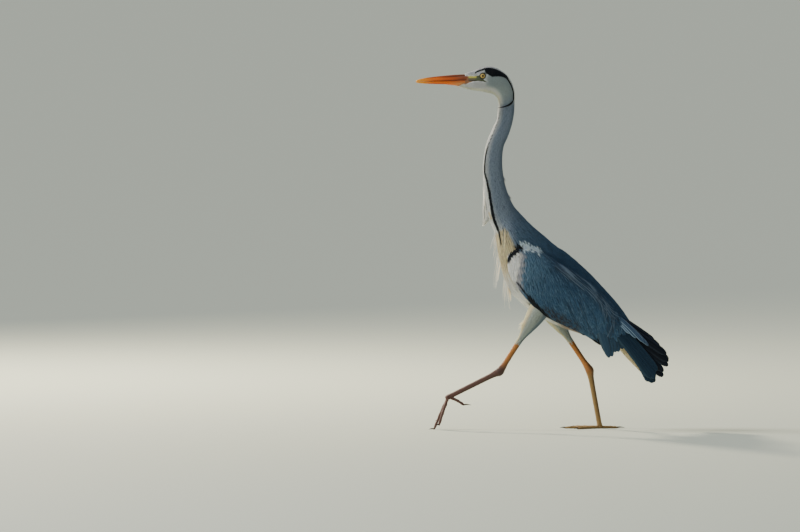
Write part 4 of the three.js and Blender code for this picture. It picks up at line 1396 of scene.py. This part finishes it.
# strands down the sides of the breast, hanging straight
breastCoat = {
    "count": 2200, "from": (15.6, 17.7), "round": (1.75, 3.3),
    "steps": 7, "vary": 0.12, "root": 0.8, "loose": 0.06, "shape": [0.4, 1, 0.9, 0.6, 0.3], "thick": 0.2,
    "long": ([14.6, 16, 18], [34, 50, 42]), "wide": 1.25, "sway": lambda t, turn: 0.3 * np.sign(turn),
    "deep": 1, "high": 1.8,
}


def breastTint(point, t, turn):
    x, z = sideView(point)
    blend = 0.5 + 0.5 * np.sin(turn * 61)
    return layered(
        (255, 236, 186), t,
        ((160, 140, 122), 0.8 * ramp(blend, 0.45, 1.0)),
        ("white", ramp(400 + 0.6 * (70 - x) - z + 9 * np.sin(turn * 37), -15, 60)),
        ("black", nearLine(x, z, (108, 490), (99, 448), 2.2, 2)),
    )


def coatBreast():
    count = breastCoat["count"]
    t = dice.uniform(*breastCoat["from"], count)
    turn = dice.choice([-1, 1], count) * np.minimum(dice.uniform(*breastCoat["round"], count), 3.1)
    growCoat("coat_breast", body, t, turn, breastTint, breastCoat, (14, 18), "pale_plumage")


coatBreast()

# the cream feathers under the tail
undertailForm = makeForm([(-184, 219, 10, 11), (-195, 200, 11.5, 13), (-207, 183, 10.5, 13),
                          (-221, 164, 7.5, 11), (-234, 144, 2.5, 6)])
undertailCoat = {"step": 3.4, "spacing": 3, "steps": 4, "long": 26, "wide": 4, "deep": 2, "high": 0.3}


def undertailTint(point, t, turn):
    return layered((250, 222, 170), t, ((12, 20, 30), ramp(np.cos(turn), -0.05, 0.35)))


def coatUndertail():
    bm, t, turn = sweptMesh(undertailForm, 32, np.linspace(0, 4, 30), -2 * mm)
    core = bmObject(bm, "undertail_core", plumage)
    paint(core.data, undertailTint(None, t, turn))
    settle(core, "pale_plumage")
    t, turn = rootRows(undertailForm, 0.0, 3.2, undertailCoat)
    under = np.cos(turn) < 0.3
    growCoat("coat_undertail", undertailForm, t[under], turn[under], undertailTint, undertailCoat, (0, 4),
             "pale_plumage")


coatUndertail()

thighCoat = {
    **fineStyle, "step": 3.0, "spacing": 2.2, "steps": 4, "loose": 0.1, "climb": 0.25,
    "long": ([0, 3, 5], [22, 16, 11]), "wide": ([0, 3, 5], [3.4, 2.8, 1.8]),
    "deep": ([0, 3, 4.6], [3.6, 3, 1]), "high": ([0, 3, 5], [0.5, 0.4, 0.2]),
}


# thigh feathers are cream at the front, and the back is painted slate, as painted shade away from the light
def thighTint(point, t, turn):
    front = -np.cos(turn)
    return layered((176, 184, 176), t, ("cream", ramp(front, 0.35, 0.9)),
                   ("slate", 0.8 * ramp(-front, 0.3, 0.85)))


def coatThighs():
    for name, leg in legSet.items():
        t, turn = rootRows(legForm(leg), 0.0, 4.5, thighCoat)
        growCoat(f"coat_thigh_{name}", legForm(leg), t, turn, thighTint, thighCoat, (0, 5), "pale_plumage")


coatThighs()

# ruffled tufts: on the nape and down the front of the left thigh
napeRuffle = {
    **neckCoat, "count": 34, "at": [12.68, 13.9], "loose": 0.12, "long": 20, "wide": 2.2, "climb": 0.8,
    "high": lambda t, turn: np.where(t < 13.3, 3.2, 4.6) * ramp(0.6 - np.abs(turn), 0, 0.5),
}
thighRuffle = {
    **thighCoat, "count": 26, "from": (2.1, 2.6), "loose": 0.25, "long": 20, "wide": 2, "climb": 1.2,
    "high": 7.5,
}


def coatRuffles():
    count = napeRuffle["count"]
    t = np.repeat(napeRuffle["at"], count) + dice.uniform(-0.05, 0.05, 2 * count)
    turn = dice.uniform(-0.45, 0.45, 2 * count)
    growCoat("coat_nape_ruffle", body, t, turn, bodyTint, napeRuffle, (12, 15))
    count = thighRuffle["count"]
    t = dice.uniform(*thighRuffle["from"], count)
    turn = math.pi + dice.uniform(-0.6, 0.6, count)
    growCoat("coat_thigh_ruffle", legForm(legSet["left"]), t, turn, thighTint, thighRuffle, (0, 5),
             "pale_plumage")


coatRuffles()
print("stage: plumes and thighs")

size = [list(corner) for corner in (*cadBox, *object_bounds())]
